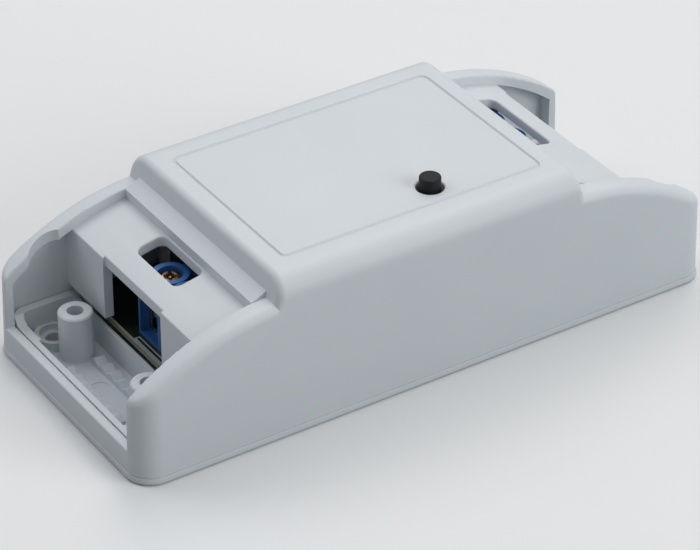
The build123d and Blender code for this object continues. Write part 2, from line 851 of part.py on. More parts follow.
with BuildPart() as push_button:
    foot_z = dome_z + dome_h + button_travel + foot_clear
    with BuildSketch(Plane.XY.offset(foot_z)):
        with Locations((button_x, button_y)):
            Circle(foot_d / 2)
    extrude(amount=foot_h)
    with BuildSketch(Plane.XY.offset(foot_z)):
        with Locations((button_x, button_y)):
            Circle(button_d / 2)
    extrude(amount=height + button_proud - foot_z)
    fillet(push_button.edges().group_by(Axis.Z)[-1], button_d / 12)
push_button.part.label = "push_button"
export_step(push_button.part, "parts/push_button.step")

# Relay: case and base, the coil on its core and yoke, and the armature with its contacts
coil_z = board_top + relay_base_t
coil_foot = coil_z + yoke_t
coil_top = coil_foot + bobbin_h
yoke_top = coil_top + pole_t
armature_z = yoke_top + armature_gap
with BuildPart() as relay_case:
    with BuildSketch(Plane.XY.offset(board_top)):
        with Locations((relay_x, relay_y)):
            Rectangle(relay_l, relay_w)
    extrude(amount=relay_h)
    fillet(relay_case.edges().filter_by(Axis.Z), relay_edge_r)
    fillet(relay_case.edges().group_by(Axis.Z)[-1], relay_edge_r)
    with BuildSketch(Plane.XY.offset(board_top)):
        with Locations((relay_x, relay_y)):
            Rectangle(relay_l - 2 * relay_wall, relay_w - 2 * relay_wall)
    extrude(amount=relay_h - relay_wall, mode=Mode.SUBTRACT)
relay_case.part.label = "relay_case"
export_step(relay_case.part, "parts/relay_case.step")

with BuildPart() as relay_base:
    with BuildSketch(Plane.XY.offset(board_top)):
        with Locations((relay_x, relay_y)):
            Rectangle(relay_l - 2 * relay_wall, relay_w - 2 * relay_wall)
    extrude(amount=relay_base_t)
relay_base.part.label = "relay_base"
export_step(relay_base.part, "parts/relay_base.step")

with BuildPart() as relay_pin_set:
    add(board_leads(relay_pins))
relay_pin_set.part.label = "relay_pin_set"
export_step(relay_pin_set.part, "parts/relay_pin_set.step")

with BuildPart() as relay_yoke:
    with BuildSketch(Plane.XZ.offset(-relay_y)):
        with BuildLine():
            back = yoke_x - yoke_t / 2
            Polyline(
                (back, coil_z),
                (coil_x + pole_d / 2, coil_z),
                (coil_x + pole_d / 2, coil_foot),
                (back + yoke_t, coil_foot),
                (back + yoke_t, yoke_top),
                (back, yoke_top),
                close=True,
            )
        make_face()
    extrude(amount=yoke_w / 2, both=True)
relay_yoke.part.label = "relay_yoke"
export_step(relay_yoke.part, "parts/relay_yoke.step")

with BuildPart() as relay_core:
    with BuildSketch(Plane.XY.offset(coil_foot)):
        with Locations((coil_x, relay_y)):
            Circle(core_d / 2)
    extrude(amount=bobbin_h)
    with BuildSketch(Plane.XY.offset(coil_top)):
        with Locations((coil_x, relay_y)):
            Circle(pole_d / 2)
    extrude(amount=pole_t)
relay_core.part.label = "relay_core"
export_step(relay_core.part, "parts/relay_core.step")

with BuildPart() as relay_bobbin:
    with BuildSketch(Plane.XY.offset(coil_foot)):
        with Locations((coil_x, relay_y)):
            Circle(bobbin_core_d / 2)
    extrude(amount=bobbin_h)
    for flange_z in (coil_foot, coil_top - bobbin_t):
        with BuildSketch(Plane.XY.offset(flange_z)):
            with Locations((coil_x, relay_y)):
                Circle(bobbin_d / 2)
        extrude(amount=bobbin_t)
    with Locations((coil_x, relay_y, coil_top)):
        Hole(core_d / 2, bobbin_h)
relay_bobbin.part.label = "relay_bobbin"
export_step(relay_bobbin.part, "parts/relay_bobbin.step")

with BuildPart() as relay_winding:
    with BuildSketch(Plane.XY.offset(coil_foot + bobbin_t)):
        with Locations((coil_x, relay_y)):
            Circle(winding_d / 2)
            Circle(bobbin_core_d / 2, mode=Mode.SUBTRACT)
    extrude(amount=bobbin_h - 2 * bobbin_t)
relay_winding.part.label = "relay_winding"
export_step(relay_winding.part, "parts/relay_winding.step")

with BuildPart() as relay_armature:
    with BuildSketch(Plane.XY.offset(armature_z)):
        with Locations(((back + coil_x + pole_d / 2) / 2, relay_y)):
            Rectangle(coil_x + pole_d / 2 - back, armature_w)
    extrude(amount=armature_t)
relay_armature.part.label = "relay_armature"
export_step(relay_armature.part, "parts/relay_armature.step")

with BuildPart() as relay_blade:
    blade_z = armature_z + armature_t
    blade_end = contact_x + contact_d
    with BuildSketch(Plane.XY.offset(blade_z)):
        with Locations(((yoke_x + blade_end) / 2, relay_y)):
            Rectangle(blade_end - yoke_x, blade_w)
    extrude(amount=blade_t)
    with BuildSketch(Plane.XY.offset(blade_z)):
        with Locations((contact_x, relay_y)):
            Circle(contact_d / 2)
    extrude(amount=-contact_h)
relay_blade.part.label = "relay_blade"
export_step(relay_blade.part, "parts/relay_blade.step")

with BuildPart() as relay_fixed_contact:
    fixed_top = blade_z - contact_h - contact_gap
    pad_z = fixed_top - contact_h
    with BuildSketch(Plane.XY.offset(coil_z)):
        with Locations((contact_x, relay_y)):
            Rectangle(contact_post_t, contact_post_w)
    extrude(amount=pad_z - coil_z)
    with BuildSketch(Plane.XY.offset(pad_z)):
        with Locations((contact_x, relay_y)):
            Rectangle(contact_post_w, contact_post_w)
    extrude(amount=-contact_post_t)
    with BuildSketch(Plane.XY.offset(pad_z)):
        with Locations((contact_x, relay_y)):
            Circle(contact_d / 2)
    extrude(amount=contact_h)
relay_fixed_contact.part.label = "relay_fixed_contact"
export_step(relay_fixed_contact.part, "parts/relay_fixed_contact.step")

# Transformer: a core with two windows, its coil former on two pin rails, and the winding
window_l = (transformer_l - 3 * transformer_leg) / 2
window_foot = board_top + transformer_leg
window_h = transformer_h - 2 * transformer_leg
with BuildPart() as transformer_core:
    with BuildSketch(Plane.XZ.offset(-transformer_y)):
        with Locations((transformer_x, board_top + transformer_h / 2)):
            Rectangle(transformer_l, transformer_h)
            with GridLocations(transformer_leg + window_l, 0, 2, 1):
                Rectangle(window_l, window_h, mode=Mode.SUBTRACT)
    extrude(amount=transformer_w / 2, both=True)
transformer_core.part.label = "transformer_core"
export_step(transformer_core.part, "parts/transformer_core.step")

with BuildPart() as transformer_former:
    former_l = transformer_leg + 2 * (window_l - former_gap)
    with BuildSketch(Plane.XY.offset(board_top)):
        with Locations((transformer_x, transformer_y)):
            with GridLocations(0, 2 * rail_y, 1, 2):
                Rectangle(transformer_l, transformer_rail_w)
    extrude(amount=transformer_leg + former_gap + former_t)
    for flange_z in (window_foot + former_gap, window_foot + window_h - former_gap - former_t):
        with BuildSketch(Plane.XY.offset(flange_z)):
            with Locations((transformer_x, transformer_y)):
                Rectangle(former_l, transformer_former_w)
        extrude(amount=former_t)
    with BuildSketch(Plane.XY.offset(window_foot + former_gap)):
        with Locations((transformer_x, transformer_y)):
            Rectangle(transformer_leg + 2 * former_t, transformer_w + 2 * former_t)
    extrude(amount=window_h - 2 * former_gap)
    with BuildSketch(Plane.XY.offset(window_foot)):
        with Locations((transformer_x, transformer_y)):
            Rectangle(transformer_leg + 2 * former_gap, transformer_w + 2 * former_gap)
    extrude(amount=window_h, mode=Mode.SUBTRACT)
transformer_former.part.label = "transformer_former"
export_step(transformer_former.part, "parts/transformer_former.step")

with BuildPart() as transformer_winding:
    with BuildSketch(Plane.XY.offset(window_foot + former_gap + former_t)):
        with Locations((transformer_x, transformer_y)):
            RectangleRounded(former_l - former_t, transformer_former_w - former_t, former_t)
            Rectangle(transformer_leg + 2 * former_t, transformer_w + 2 * former_t, mode=Mode.SUBTRACT)
    extrude(amount=window_h - 2 * former_gap - 2 * former_t)
transformer_winding.part.label = "transformer_winding"
export_step(transformer_winding.part, "parts/transformer_winding.step")

# Smoothing capacitors: a can with a rolled groove near its foot
for number, y in enumerate(capacitor_y):
    with BuildPart() as capacitor:
        with BuildSketch(Plane.XY.offset(board_top)):
            with Locations((capacitor_x, y)):
                Circle(capacitor_d / 2)
        extrude(amount=capacitor_h)
        fillet(capacitor.edges().group_by(Axis.Z)[-1], capacitor_edge_r)
        with Locations((capacitor_x, y, board_top + 4 * capacitor_groove)):
            Torus(capacitor_d / 2, capacitor_groove, mode=Mode.SUBTRACT)
    capacitor_name = "capacitor_" + str(number + 1)
    capacitor.part.label = capacitor_name
    export_step(capacitor.part, "parts/" + capacitor_name + ".step")

# Filter choke on a drum core
with BuildPart() as inductor_core:
    with BuildSketch(Plane.XY.offset(board_top)):
        with Locations((inductor_x, inductor_y)):
            Circle(inductor_d / 2)
    extrude(amount=inductor_h)
    with BuildSketch(Plane.XY.offset(board_top + inductor_flange_t)):
        with Locations((inductor_x, inductor_y)):
            Circle(inductor_d / 2)
            Circle(inductor_waist_d / 2, mode=Mode.SUBTRACT)
    extrude(amount=inductor_h - 2 * inductor_flange_t, mode=Mode.SUBTRACT)
inductor_core.part.label = "inductor_core"
export_step(inductor_core.part, "parts/inductor_core.step")

with BuildPart() as inductor_winding:
    with BuildSketch(Plane.XY.offset(board_top + inductor_flange_t)):
        with Locations((inductor_x, inductor_y)):
            Circle(inductor_winding_d / 2)
            Circle(inductor_waist_d / 2, mode=Mode.SUBTRACT)
    extrude(amount=inductor_h - 2 * inductor_flange_t)
inductor_winding.part.label = "inductor_winding"
export_step(inductor_winding.part, "parts/inductor_winding.step")

with BuildPart() as varistor:
    with BuildSketch(Plane.YZ.offset(varistor_x)):
        with Locations((varistor_y, board_top + varistor_stand + varistor_d / 2)):
            Circle(varistor_d / 2)
    extrude(amount=varistor_t / 2, both=True)
    fillet(varistor.edges().filter_by(GeomType.CIRCLE), varistor_edge_r)
    with BuildSketch(Plane.XY.offset(board_top)):
        with Locations(*varistor_leads):
            Circle(lead_d)
    extrude(amount=varistor_stand + varistor_d / 4)
varistor.part.label = "varistor"
export_step(varistor.part, "parts/varistor.step")

with BuildPart() as fusible_resistor:
    with BuildSketch(Plane.YZ.offset(resistor_x)):
        with Locations((resistor_y, board_top + resistor_d / 2)):
            Circle(resistor_d / 2)
    extrude(amount=resistor_l / 2, both=True)
    with BuildSketch(Plane.YZ.offset(resistor_x)):
        with Locations((resistor_y, board_top + resistor_d / 2)):
            Circle(resistor_d / 2)
            Circle(resistor_d / 2 - resistor_waist, mode=Mode.SUBTRACT)
    extrude(amount=resistor_l / 2 - resistor_cap_l, both=True, mode=Mode.SUBTRACT)
fusible_resistor.part.label = "fusible_resistor"
export_step(fusible_resistor.part, "parts/fusible_resistor.step")

for chip_name, x, y, l, w, h in chips:
    with BuildPart() as chip:
        with BuildSketch(Plane.XY.offset(board_top)):
            with Locations((x, y)):
                Rectangle(l, w)
        extrude(amount=h)
        chamfer(chip.edges().group_by(Axis.Z)[-1], chip_edge)
        with Locations((x - l / 2 + chip_dot_d, y - w / 2 + chip_dot_d, board_top + h)):
            Hole(chip_dot_d / 2, chip_dot_depth)
    chip.part.label = chip_name
    export_step(chip.part, "parts/" + chip_name + ".step")

with BuildPart() as component_leads:
    add(board_leads(round_leads))
component_leads.part.label = "component_leads"
export_step(component_leads.part, "parts/component_leads.step")

# Radio module with its chip under a metal can
module_top = board_top + module_t
with BuildPart() as radio_module:
    with BuildSketch(Plane.XY.offset(board_top)):
        with Locations((module_x, module_y)):
            Rectangle(module_l, module_w)
    extrude(amount=module_t)
radio_module.part.label = "radio_module"
export_step(radio_module.part, "parts/radio_module.step")

shield_x = module_x - (module_l - shield_l) / 2 + shield_edge_r
with BuildPart() as radio_shield:
    with BuildSketch(Plane.XY.offset(module_top)):
        with Locations((shield_x, module_y)):
            RectangleRounded(shield_l, shield_w, shield_edge_r)
    extrude(amount=shield_h)
    fillet(radio_shield.edges().group_by(Axis.Z)[-1], shield_edge_r / 2)
    with BuildSketch(Plane.XY.offset(module_top)):
        with Locations((shield_x, module_y)):
            Rectangle(shield_l - 2 * shield_t, shield_w - 2 * shield_t)
    extrude(amount=shield_h - shield_t, mode=Mode.SUBTRACT)
radio_shield.part.label = "radio_shield"
export_step(radio_shield.part, "parts/radio_shield.step")

with BuildPart() as radio_chip:
    with BuildSketch(Plane.XY.offset(module_top)):
        with Locations((shield_x, module_y)):
            Rectangle(radio_chip_w, radio_chip_w)
    extrude(amount=radio_chip_t)
radio_chip.part.label = "radio_chip"
export_step(radio_chip.part, "parts/radio_chip.step")

with BuildPart() as status_led:
    with BuildSketch(Plane.XY.offset(board_top)):
        with Locations((led_x, led_y)):
            Rectangle(led_l, led_w)
    extrude(amount=led_h)
status_led.part.label = "status_led"
export_step(status_led.part, "parts/status_led.step")

# Programming header: a plastic strip, and square pins through the board
with BuildPart() as pin_header:
    with BuildSketch(Plane.XY.offset(board_top)):
        with Locations((header_x, header_y)):
            Rectangle(header_pins * header_pitch, header_pitch)
        with Locations(*[(x, header_y) for x in header_rows]):
            Rectangle(header_pin_w, header_pin_w, mode=Mode.SUBTRACT)
    extrude(amount=header_h)
pin_header.part.label = "pin_header"
export_step(pin_header.part, "parts/pin_header.step")

with BuildPart() as header_pin_set:
    with BuildSketch(Plane.XY.offset(board_z - tail_below)):
        with Locations(*[(x, header_y) for x in header_rows]):
            Rectangle(header_pin_w, header_pin_w)
    extrude(amount=board_t + tail_below + header_pin_up)
header_pin_set.part.label = "header_pin_set"
export_step(header_pin_set.part, "parts/header_pin_set.step")
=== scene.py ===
# %% [markdown]
# # A smart switch, dressed for the camera
# The object is an in-line mains switch: a moulded housing with a well at each end, where the covers
# have been taken off. The CAD model gives its shape, and this script gives its finish, the small
# parts that only a close look shows, the lights and the camera. Blender's lengths here are metres,
# so a size on the real object is written in millimetres and multiplied by MM.

# %% Load the frame
from math import cos, pi, radians, sin

import bpy
from mathutils import Matrix, Vector


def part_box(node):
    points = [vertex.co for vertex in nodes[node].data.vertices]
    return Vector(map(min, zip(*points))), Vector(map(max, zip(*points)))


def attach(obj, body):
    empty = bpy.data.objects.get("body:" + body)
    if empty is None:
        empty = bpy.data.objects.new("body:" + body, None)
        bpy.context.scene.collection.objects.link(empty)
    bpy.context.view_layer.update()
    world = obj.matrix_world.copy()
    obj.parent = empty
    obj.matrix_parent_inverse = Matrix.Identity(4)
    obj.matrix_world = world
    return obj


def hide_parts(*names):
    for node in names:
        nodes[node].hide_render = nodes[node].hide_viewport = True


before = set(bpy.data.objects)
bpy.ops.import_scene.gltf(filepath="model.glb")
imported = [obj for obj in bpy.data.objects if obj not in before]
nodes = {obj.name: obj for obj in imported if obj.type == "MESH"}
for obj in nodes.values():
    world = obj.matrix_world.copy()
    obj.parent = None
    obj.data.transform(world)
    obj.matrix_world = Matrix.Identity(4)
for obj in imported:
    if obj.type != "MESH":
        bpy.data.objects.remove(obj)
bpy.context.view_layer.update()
MM = 0.001


# %% [markdown]
# ## Where the photographer stood
# The picture is a long-lens product shot: the four long edges of the housing stay almost parallel.
# A camera 456 mm away with a 177 mm lens gives the same perspective. It looks down by 34 degrees
# on the input end and the side that faces the viewer.

# %% The camera
AZIMUTH = radians(-32.947)
ELEVATION = radians(33.946)
DISTANCE = 456.02 * MM
SIDE_STEP = -0.70 * MM
UP_STEP = 4.62 * MM
LENS_MM = 176.73
SENSOR_MM = 36.0

right = Vector((cos(AZIMUTH), sin(AZIMUTH), 0.0))
back = Vector((sin(AZIMUTH) * cos(ELEVATION), -cos(AZIMUTH) * cos(ELEVATION), sin(ELEVATION)))
up = back.cross(right)


def deselect_all():
    """Leave nothing selected, so that an operator acts only on what is chosen next."""
    if bpy.context.object and bpy.context.object.mode != "OBJECT":
        bpy.ops.object.mode_set(mode="OBJECT")
    bpy.ops.object.select_all(action="DESELECT")


deselect_all()
bpy.ops.object.camera_add(location=right * SIDE_STEP + up * UP_STEP + back * DISTANCE)
camera = bpy.context.object
camera.name = "photo_camera"
camera.rotation_euler = Matrix((right, up, back)).transposed().to_euler()
camera.data.lens = LENS_MM
camera.data.sensor_width = SENSOR_MM
camera.data.clip_start = 0.01
bpy.context.scene.camera = camera
print("camera at", tuple(round(v, 4) for v in camera.location))


# %% [markdown]
# ## Helpers for every material
# Colours are written as the hex codes that a colour picker shows, which are sRGB. Shaders work in
# linear light, so one function turns the first into the second. A second function adds any node
# with its settings, its constants and its incoming links, which keeps a material a short list.
# A pattern's scale in Blender is how many times it repeats in a metre, so `per_mm` turns the size
# of a grain into that scale. A Wave texture is different: at scale 1 its bands lie 2 pi / 20 apart,
# so `band_scale` works its scale out from their spacing. Two more functions start an empty material
# and give a finished one to parts of the CAD model.

# %% Colour, node, scale and material helpers
def linear(hex_code):
    """An sRGB hex colour such as "#8A8F94" as linear red, green, blue and alpha."""
    channels = [int(hex_code[i : i + 2], 16) / 255 for i in (1, 3, 5)]
    curve = [c / 12.92 if c <= 0.04045 else ((c + 0.055) / 1.055) ** 2.4 for c in channels]
    return (*curve, 1.0)


def add_node(tree, kind, settings=None, inputs=None, links=None):
    """Add one node. settings are its attributes, inputs its constants, links its incoming sockets."""
    node = tree.nodes.new(kind)
    for name, value in (settings or {}).items():
        setattr(node, name, value)
    for name, value in (inputs or {}).items():
        node.inputs[name].default_value = value
    for name, socket in (links or {}).items():
        tree.links.new(socket, node.inputs[name])
    return node


def per_mm(size):
    """The texture scale at which one feature of a pattern is so many millimetres wide."""
    return 1.0 / (size * MM)


def band_scale(spacing):
    """The Wave texture's scale at which its bands lie so many millimetres apart."""
    return 2 * pi / 20 / (spacing * MM)


def start_material(name):
    """An empty material, its node tree, and the object's own coordinates and normals in that tree."""
    material = bpy.data.materials.new(name)
    material.use_nodes = True
    tree = material.node_tree
    tree.nodes.clear()
    where = add_node(tree, "ShaderNodeTexCoord")
    return material, tree, where.outputs["Object"], where.outputs["Normal"]


def dress(material, *names):
    """Give a material to CAD nodes, whose meshes stay as they are."""
    for name in names:
        for slot in nodes[name].material_slots:
            slot.material = material
    print(f"{material.name:28s}", ", ".join(names))


print("a 0.3 mm grain has the scale", round(per_mm(0.3)))
print("bands 3 mm apart have the scale", round(band_scale(3.0)))


# %% [markdown]
# ## A table and soft light
# The object was lit in a light tent with four soft boxes: a broad one overhead, one on the side
# that faces the viewer, and two high up behind the object. The input end is the darkest side, so
# the lamp on the viewer's side stands beyond the other end, and the rest reach the input end only
# at a shallow angle. A very pale table would throw so much light back at that end that it turned as
# bright as the top. So the table is pale only for the camera, in mirrors and through glass, and mid
# grey for the light that bounces on to the object. It keeps the object's shadow either way.

# %% The tent
world = bpy.data.worlds.new("light_tent")
bpy.context.scene.world = world
world.use_nodes = True
tree = world.node_tree
tree.nodes.clear()
tent = add_node(tree, "ShaderNodeBackground", inputs={"Color": linear("#F9F9F8"), "Strength": 0.31})
pale = add_node(tree, "ShaderNodeBackground", inputs={"Color": linear("#F4F5F6"), "Strength": 1.0})
ray = add_node(tree, "ShaderNodeLightPath")
seen = add_node(
    tree,
    "ShaderNodeMixShader",
    links={0: ray.outputs["Is Camera Ray"], 1: tent.outputs[0], 2: pale.outputs[0]},
)
add_node(tree, "ShaderNodeOutputWorld", links={"Surface": seen.outputs[0]})
bpy.context.scene.view_settings.view_transform = "Standard"
print("tent of strength", round(tent.inputs["Strength"].default_value, 2))

# %% The table
deselect_all()
bpy.ops.mesh.primitive_plane_add(size=6.0, location=(0, 0, 0))
table = bpy.context.object
table.name = "table_top"
paper, tree, place, normal = start_material("matt_backdrop_paper")
ray = add_node(tree, "ShaderNodeLightPath")
mirror = add_node(
    tree,
    "ShaderNodeMath",
    {"operation": "MAXIMUM"},
    links={0: ray.outputs["Is Glossy Ray"], 1: ray.outputs["Is Transmission Ray"]},
)
seen = add_node(
    tree,
    "ShaderNodeMath",
    {"operation": "MAXIMUM"},
    links={0: mirror.outputs[0], 1: ray.outputs["Is Camera Ray"]},
)
tone = add_node(
    tree,
    "ShaderNodeMix",
    {"data_type": "RGBA"},
    {6: linear("#8F9295"), 7: linear("#E9EBEC")},
    {0: seen.outputs[0]},
)
surface = add_node(
    tree, "ShaderNodeBsdfPrincipled", inputs={"Roughness": 0.9}, links={"Base Color": tone.outputs[2]}
)
add_node(tree, "ShaderNodeOutputMaterial", links={"Surface": surface.outputs[0]})
table.data.materials.append(paper)
print("table", round(table.dimensions.x, 1), "m wide")

# %% The lamps
AIM = Vector((0.0, 0.0, 0.01))


def soft_lamp(name, size_x, size_y, place, watts, hex_code):
    """A rectangular soft box at a place, turned to face the middle of the object."""
    deselect_all()
    bpy.ops.object.light_add(type="AREA", location=place)
    lamp = bpy.context.object
    lamp.name = name
    lamp.data.shape = "RECTANGLE"
    lamp.data.size = size_x
    lamp.data.size_y = size_y
    lamp.data.energy = watts
    lamp.data.color = linear(hex_code)[:3]
    lamp.rotation_euler = (AIM - Vector(place)).to_track_quat("-Z", "Y").to_euler()
    print(name, watts, "W")


soft_lamp("overhead_soft_box", 0.7, 0.6, (0.12, -0.06, 0.80), 1.60, "#FFFFFF")
soft_lamp("front_soft_box", 0.5, 0.4, (0.38, -0.62, 0.32), 2.46, "#FAFDFF")
soft_lamp("back_soft_box", 0.5, 0.5, (0.35, 0.40, 0.65), 1.84, "#FFF7F1")
soft_lamp("far_end_soft_box", 0.5, 0.5, (-0.35, 0.50, 0.55), 1.50, "#EBF2FF")


# %% [markdown]
# ## Spark-eroded ABS
# The housing is injection-moulded ABS. Its mould was spark-eroded, which leaves a fine matt grain of
# about 0.1 mm, drawn here at 0.28 mm so that it shows. The melt cools unevenly, so the grey drifts
# a little over some 14 mm. Two noises do it: a wide one for the colour, a fine one for the bump.
# The base plate comes from another mould, whose steel was left smoother, so it shines a little more.

# %% Housing and base plate
def moulded_abs(name, dark, light, roughness, grain_strength):
    """Moulded ABS with a slow drift of colour between two hex codes, and a fine eroded grain."""
    material, tree, place, normal = start_material(name)
    flow = add_node(
        tree,
        "ShaderNodeTexNoise",
        inputs={"Scale": per_mm(14.0), "Detail": 2.0},
        links={"Vector": place},
    )
    tone = add_node(
        tree,
        "ShaderNodeMix",
        {"data_type": "RGBA"},
        {6: linear(dark), 7: linear(light)},
        {0: flow.outputs["Fac"]},
    )
    grain = add_node(
        tree,
        "ShaderNodeTexNoise",
        inputs={"Scale": per_mm(0.28), "Detail": 3.0},
        links={"Vector": place},
    )
    bump = add_node(
        tree,
        "ShaderNodeBump",
        inputs={"Strength": grain_strength, "Distance": 0.02 * MM},
        links={"Height": grain.outputs["Fac"]},
    )
    sheen = add_node(
        tree,
        "ShaderNodeMapRange",
        inputs={"To Min": roughness - 0.05, "To Max": roughness + 0.05},
        links={"Value": flow.outputs["Fac"]},
    )
    surface = add_node(
        tree,
        "ShaderNodeBsdfPrincipled",
        inputs={"IOR": 1.53},
        links={"Base Color": tone.outputs[2], "Roughness": sheen.outputs[0], "Normal": bump.outputs[0]},
    )
    add_node(tree, "ShaderNodeOutputMaterial", links={"Surface": surface.outputs[0]})
    return material


shell_abs = moulded_abs("spark_eroded_abs", "#CFD5DA", "#D6DCE0", 0.52, 0.30)
dress(shell_abs, "upper_housing")
plate_abs = moulded_abs("smooth_abs", "#CCD3D8", "#D3D9DE", 0.44, 0.15)
dress(plate_abs, "base_plate")


# %% [markdown]
# ## Solder-masked board
# The board is glass-epoxy laminate under a very dark green lacquer. The lacquer covers the flat
# faces, where broad areas of copper some 8 mm apart, cut up by cells of 5 mm, raise it slightly.
# The sawn edges show the laminate's olive grey. Its glass layers are 0.17 mm apart, too fine to
# show, so they are drawn as bands 1.07 mm apart. The object's own normal tells a flat face from an
# edge, so one material does both.

# %% Flat faces and copper areas
COPPER_SPACING = 7.98
GLASS_SPACING = 1.07
material, tree, place, normal = start_material("solder_masked_laminate")
facing = add_node(tree, "ShaderNodeSeparateXYZ", links={0: normal})
upright = add_node(tree, "ShaderNodeMath", {"operation": "ABSOLUTE"}, links={0: facing.outputs["Z"]})
flat = add_node(
    tree, "ShaderNodeMath", {"operation": "GREATER_THAN"}, {1: 0.7}, {0: upright.outputs[0]}
)
regions = add_node(
    tree,
    "ShaderNodeTexVoronoi",
    {"distance": "CHEBYCHEV"},
    {"Scale": per_mm(5.0), "Randomness": 0.7},
    {"Vector": place},
)
bands = add_node(
    tree,
    "ShaderNodeTexWave",
    {"bands_direction": "Y", "wave_profile": "SIN"},
    {"Scale": band_scale(COPPER_SPACING)},
    {"Vector": place},
)
on = add_node(
    tree,
    "ShaderNodeMath",
    {"operation": "MULTIPLY"},
    links={0: regions.outputs["Color"], 1: bands.outputs["Fac"]},
)
copper = add_node(
    tree,
    "ShaderNodeMapRange",
    inputs={"From Min": 0.30, "From Max": 0.36},
    links={"Value": on.outputs[0]},
)
print("copper areas", COPPER_SPACING, "mm apart")

# %% Lacquer, sawn edges and the board
mask = add_node(
    tree,
    "ShaderNodeMix",
    {"data_type": "RGBA"},
    {6: linear("#141A16"), 7: linear("#1C271E")},
    {0: copper.outputs[0]},
)
glass = add_node(
    tree,
    "ShaderNodeTexWave",
    {"bands_direction": "Z"},
    {"Scale": band_scale(GLASS_SPACING), "Distortion": 1.5},
    {"Vector": place},
)
sawn = add_node(
    tree,
    "ShaderNodeMix",
    {"data_type": "RGBA"},
    {6: linear("#7C7E72"), 7: linear("#A5A798")},
    {0: glass.outputs["Fac"]},
)
tone = add_node(
    tree,
    "ShaderNodeMix",
    {"data_type": "RGBA"},
    links={0: flat.outputs[0], 6: sawn.outputs[2], 7: mask.outputs[2]},
)
gloss = add_node(
    tree, "ShaderNodeMapRange", inputs={"To Min": 0.8, "To Max": 0.38}, links={"Value": flat.outputs[0]}
)
bump = add_node(
    tree,
    "ShaderNodeBump",
    inputs={"Strength": 0.5, "Distance": 0.03 * MM},
    links={"Height": copper.outputs[0]},
)
surface = add_node(
    tree,
    "ShaderNodeBsdfPrincipled",
    inputs={"IOR": 1.52},
    links={"Base Color": tone.outputs[2], "Roughness": gloss.outputs[0], "Normal": bump.outputs[0]},
)
add_node(tree, "ShaderNodeOutputMaterial", links={"Surface": surface.outputs[0]})
dress(material, "circuit_board")


# %% [markdown]
# ## Plain mouldings
# Most of the small plastic parts differ only in polymer and colour: glass-filled nylon for the
# terminals, satin polybutylene for the relay, phenolic for the coil formers, epoxy compound for the
# chips. All share one recipe, a mottle in the colour and a bump of the same size, so one function
# takes the two colours, the gloss, the index of refraction and the real size of the mottle. The
# push button's nylon is textured so finely that it mirrors less, hence its lower specular level.

# %% Nylon, polybutylene, phenolic and epoxy compound
def moulding(name, dark, light, roughness, ior, mottle_mm, relief_mm, specular=0.5):
    """A moulded polymer with a mottle between two hex codes and relief of the same size."""
    material, tree, place, normal = start_material(name)
    mottle = add_node(
        tree,
        "ShaderNodeTexNoise",
        inputs={"Scale": per_mm(mottle_mm), "Detail": 4.0},
        links={"Vector": place},
    )
    tone = add_node(
        tree,
        "ShaderNodeMix",
        {"data_type": "RGBA"},
        {6: linear(dark), 7: linear(light)},
        {0: mottle.outputs["Fac"]},
    )
    bump = add_node(
        tree,
        "ShaderNodeBump",
        inputs={"Strength": 0.4, "Distance": relief_mm * MM},
        links={"Height": mottle.outputs["Fac"]},
    )
    surface = add_node(
        tree,
        "ShaderNodeBsdfPrincipled",
        inputs={"Roughness": roughness, "IOR": ior, "Specular IOR Level": specular},
        links={"Base Color": tone.outputs[2], "Normal": bump.outputs[0]},
    )
    add_node(tree, "ShaderNodeOutputMaterial", links={"Surface": surface.outputs[0]})
    return material


terminal_nylon = moulding("blue_glass_filled_nylon", "#2A5894", "#3466A6", 0.36, 1.53, 0.5, 0.01)
button_nylon = moulding("satin_black_nylon", "#121619", "#1A1E22", 0.55, 1.53, 0.35, 0.015, 0.25)
black_nylon = moulding("matt_black_nylon", "#161718", "#202122", 0.55, 1.53, 0.4, 0.015)
relay_plastic = moulding("black_polybutylene", "#191A1C", "#232427", 0.42, 1.54, 0.8, 0.01)
chip_epoxy = moulding("epoxy_chip_compound", "#17181A", "#26282A", 0.62, 1.55, 0.25, 0.02)
former_phenolic = moulding("black_phenolic", "#1A1715", "#2A2420", 0.5, 1.6, 0.6, 0.01)
dress(terminal_nylon, "input_terminal_block", "output_terminal_block")
dress(button_nylon, "push_button")
dress(black_nylon, "tact_switch_body", "pin_header")
dress(relay_plastic, "relay_case", "relay_base")
dress(chip_epoxy, "bridge_rectifier", "optocoupler", "radio_chip")
dress(former_phenolic, "relay_bobbin", "transformer_former")
screen_ink = moulding("white_screen_ink", "#9DA2A6", "#B4B8BB", 0.6, 1.5, 0.3, 0.004)


# %% [markdown]
# ## Metals
# A metal has no colour of its own under the gloss: its base colour is the colour of its reflection.
# Rolled and stamped sheet carries fine lines along the rolling direction, plated parts that were
# tumbled in a barrel have a cloudy gloss, and the yellow passivation on a terminal screw drifts
# from pale gold to brown. So the metal recipe stretches its noise along one axis by a ratio.

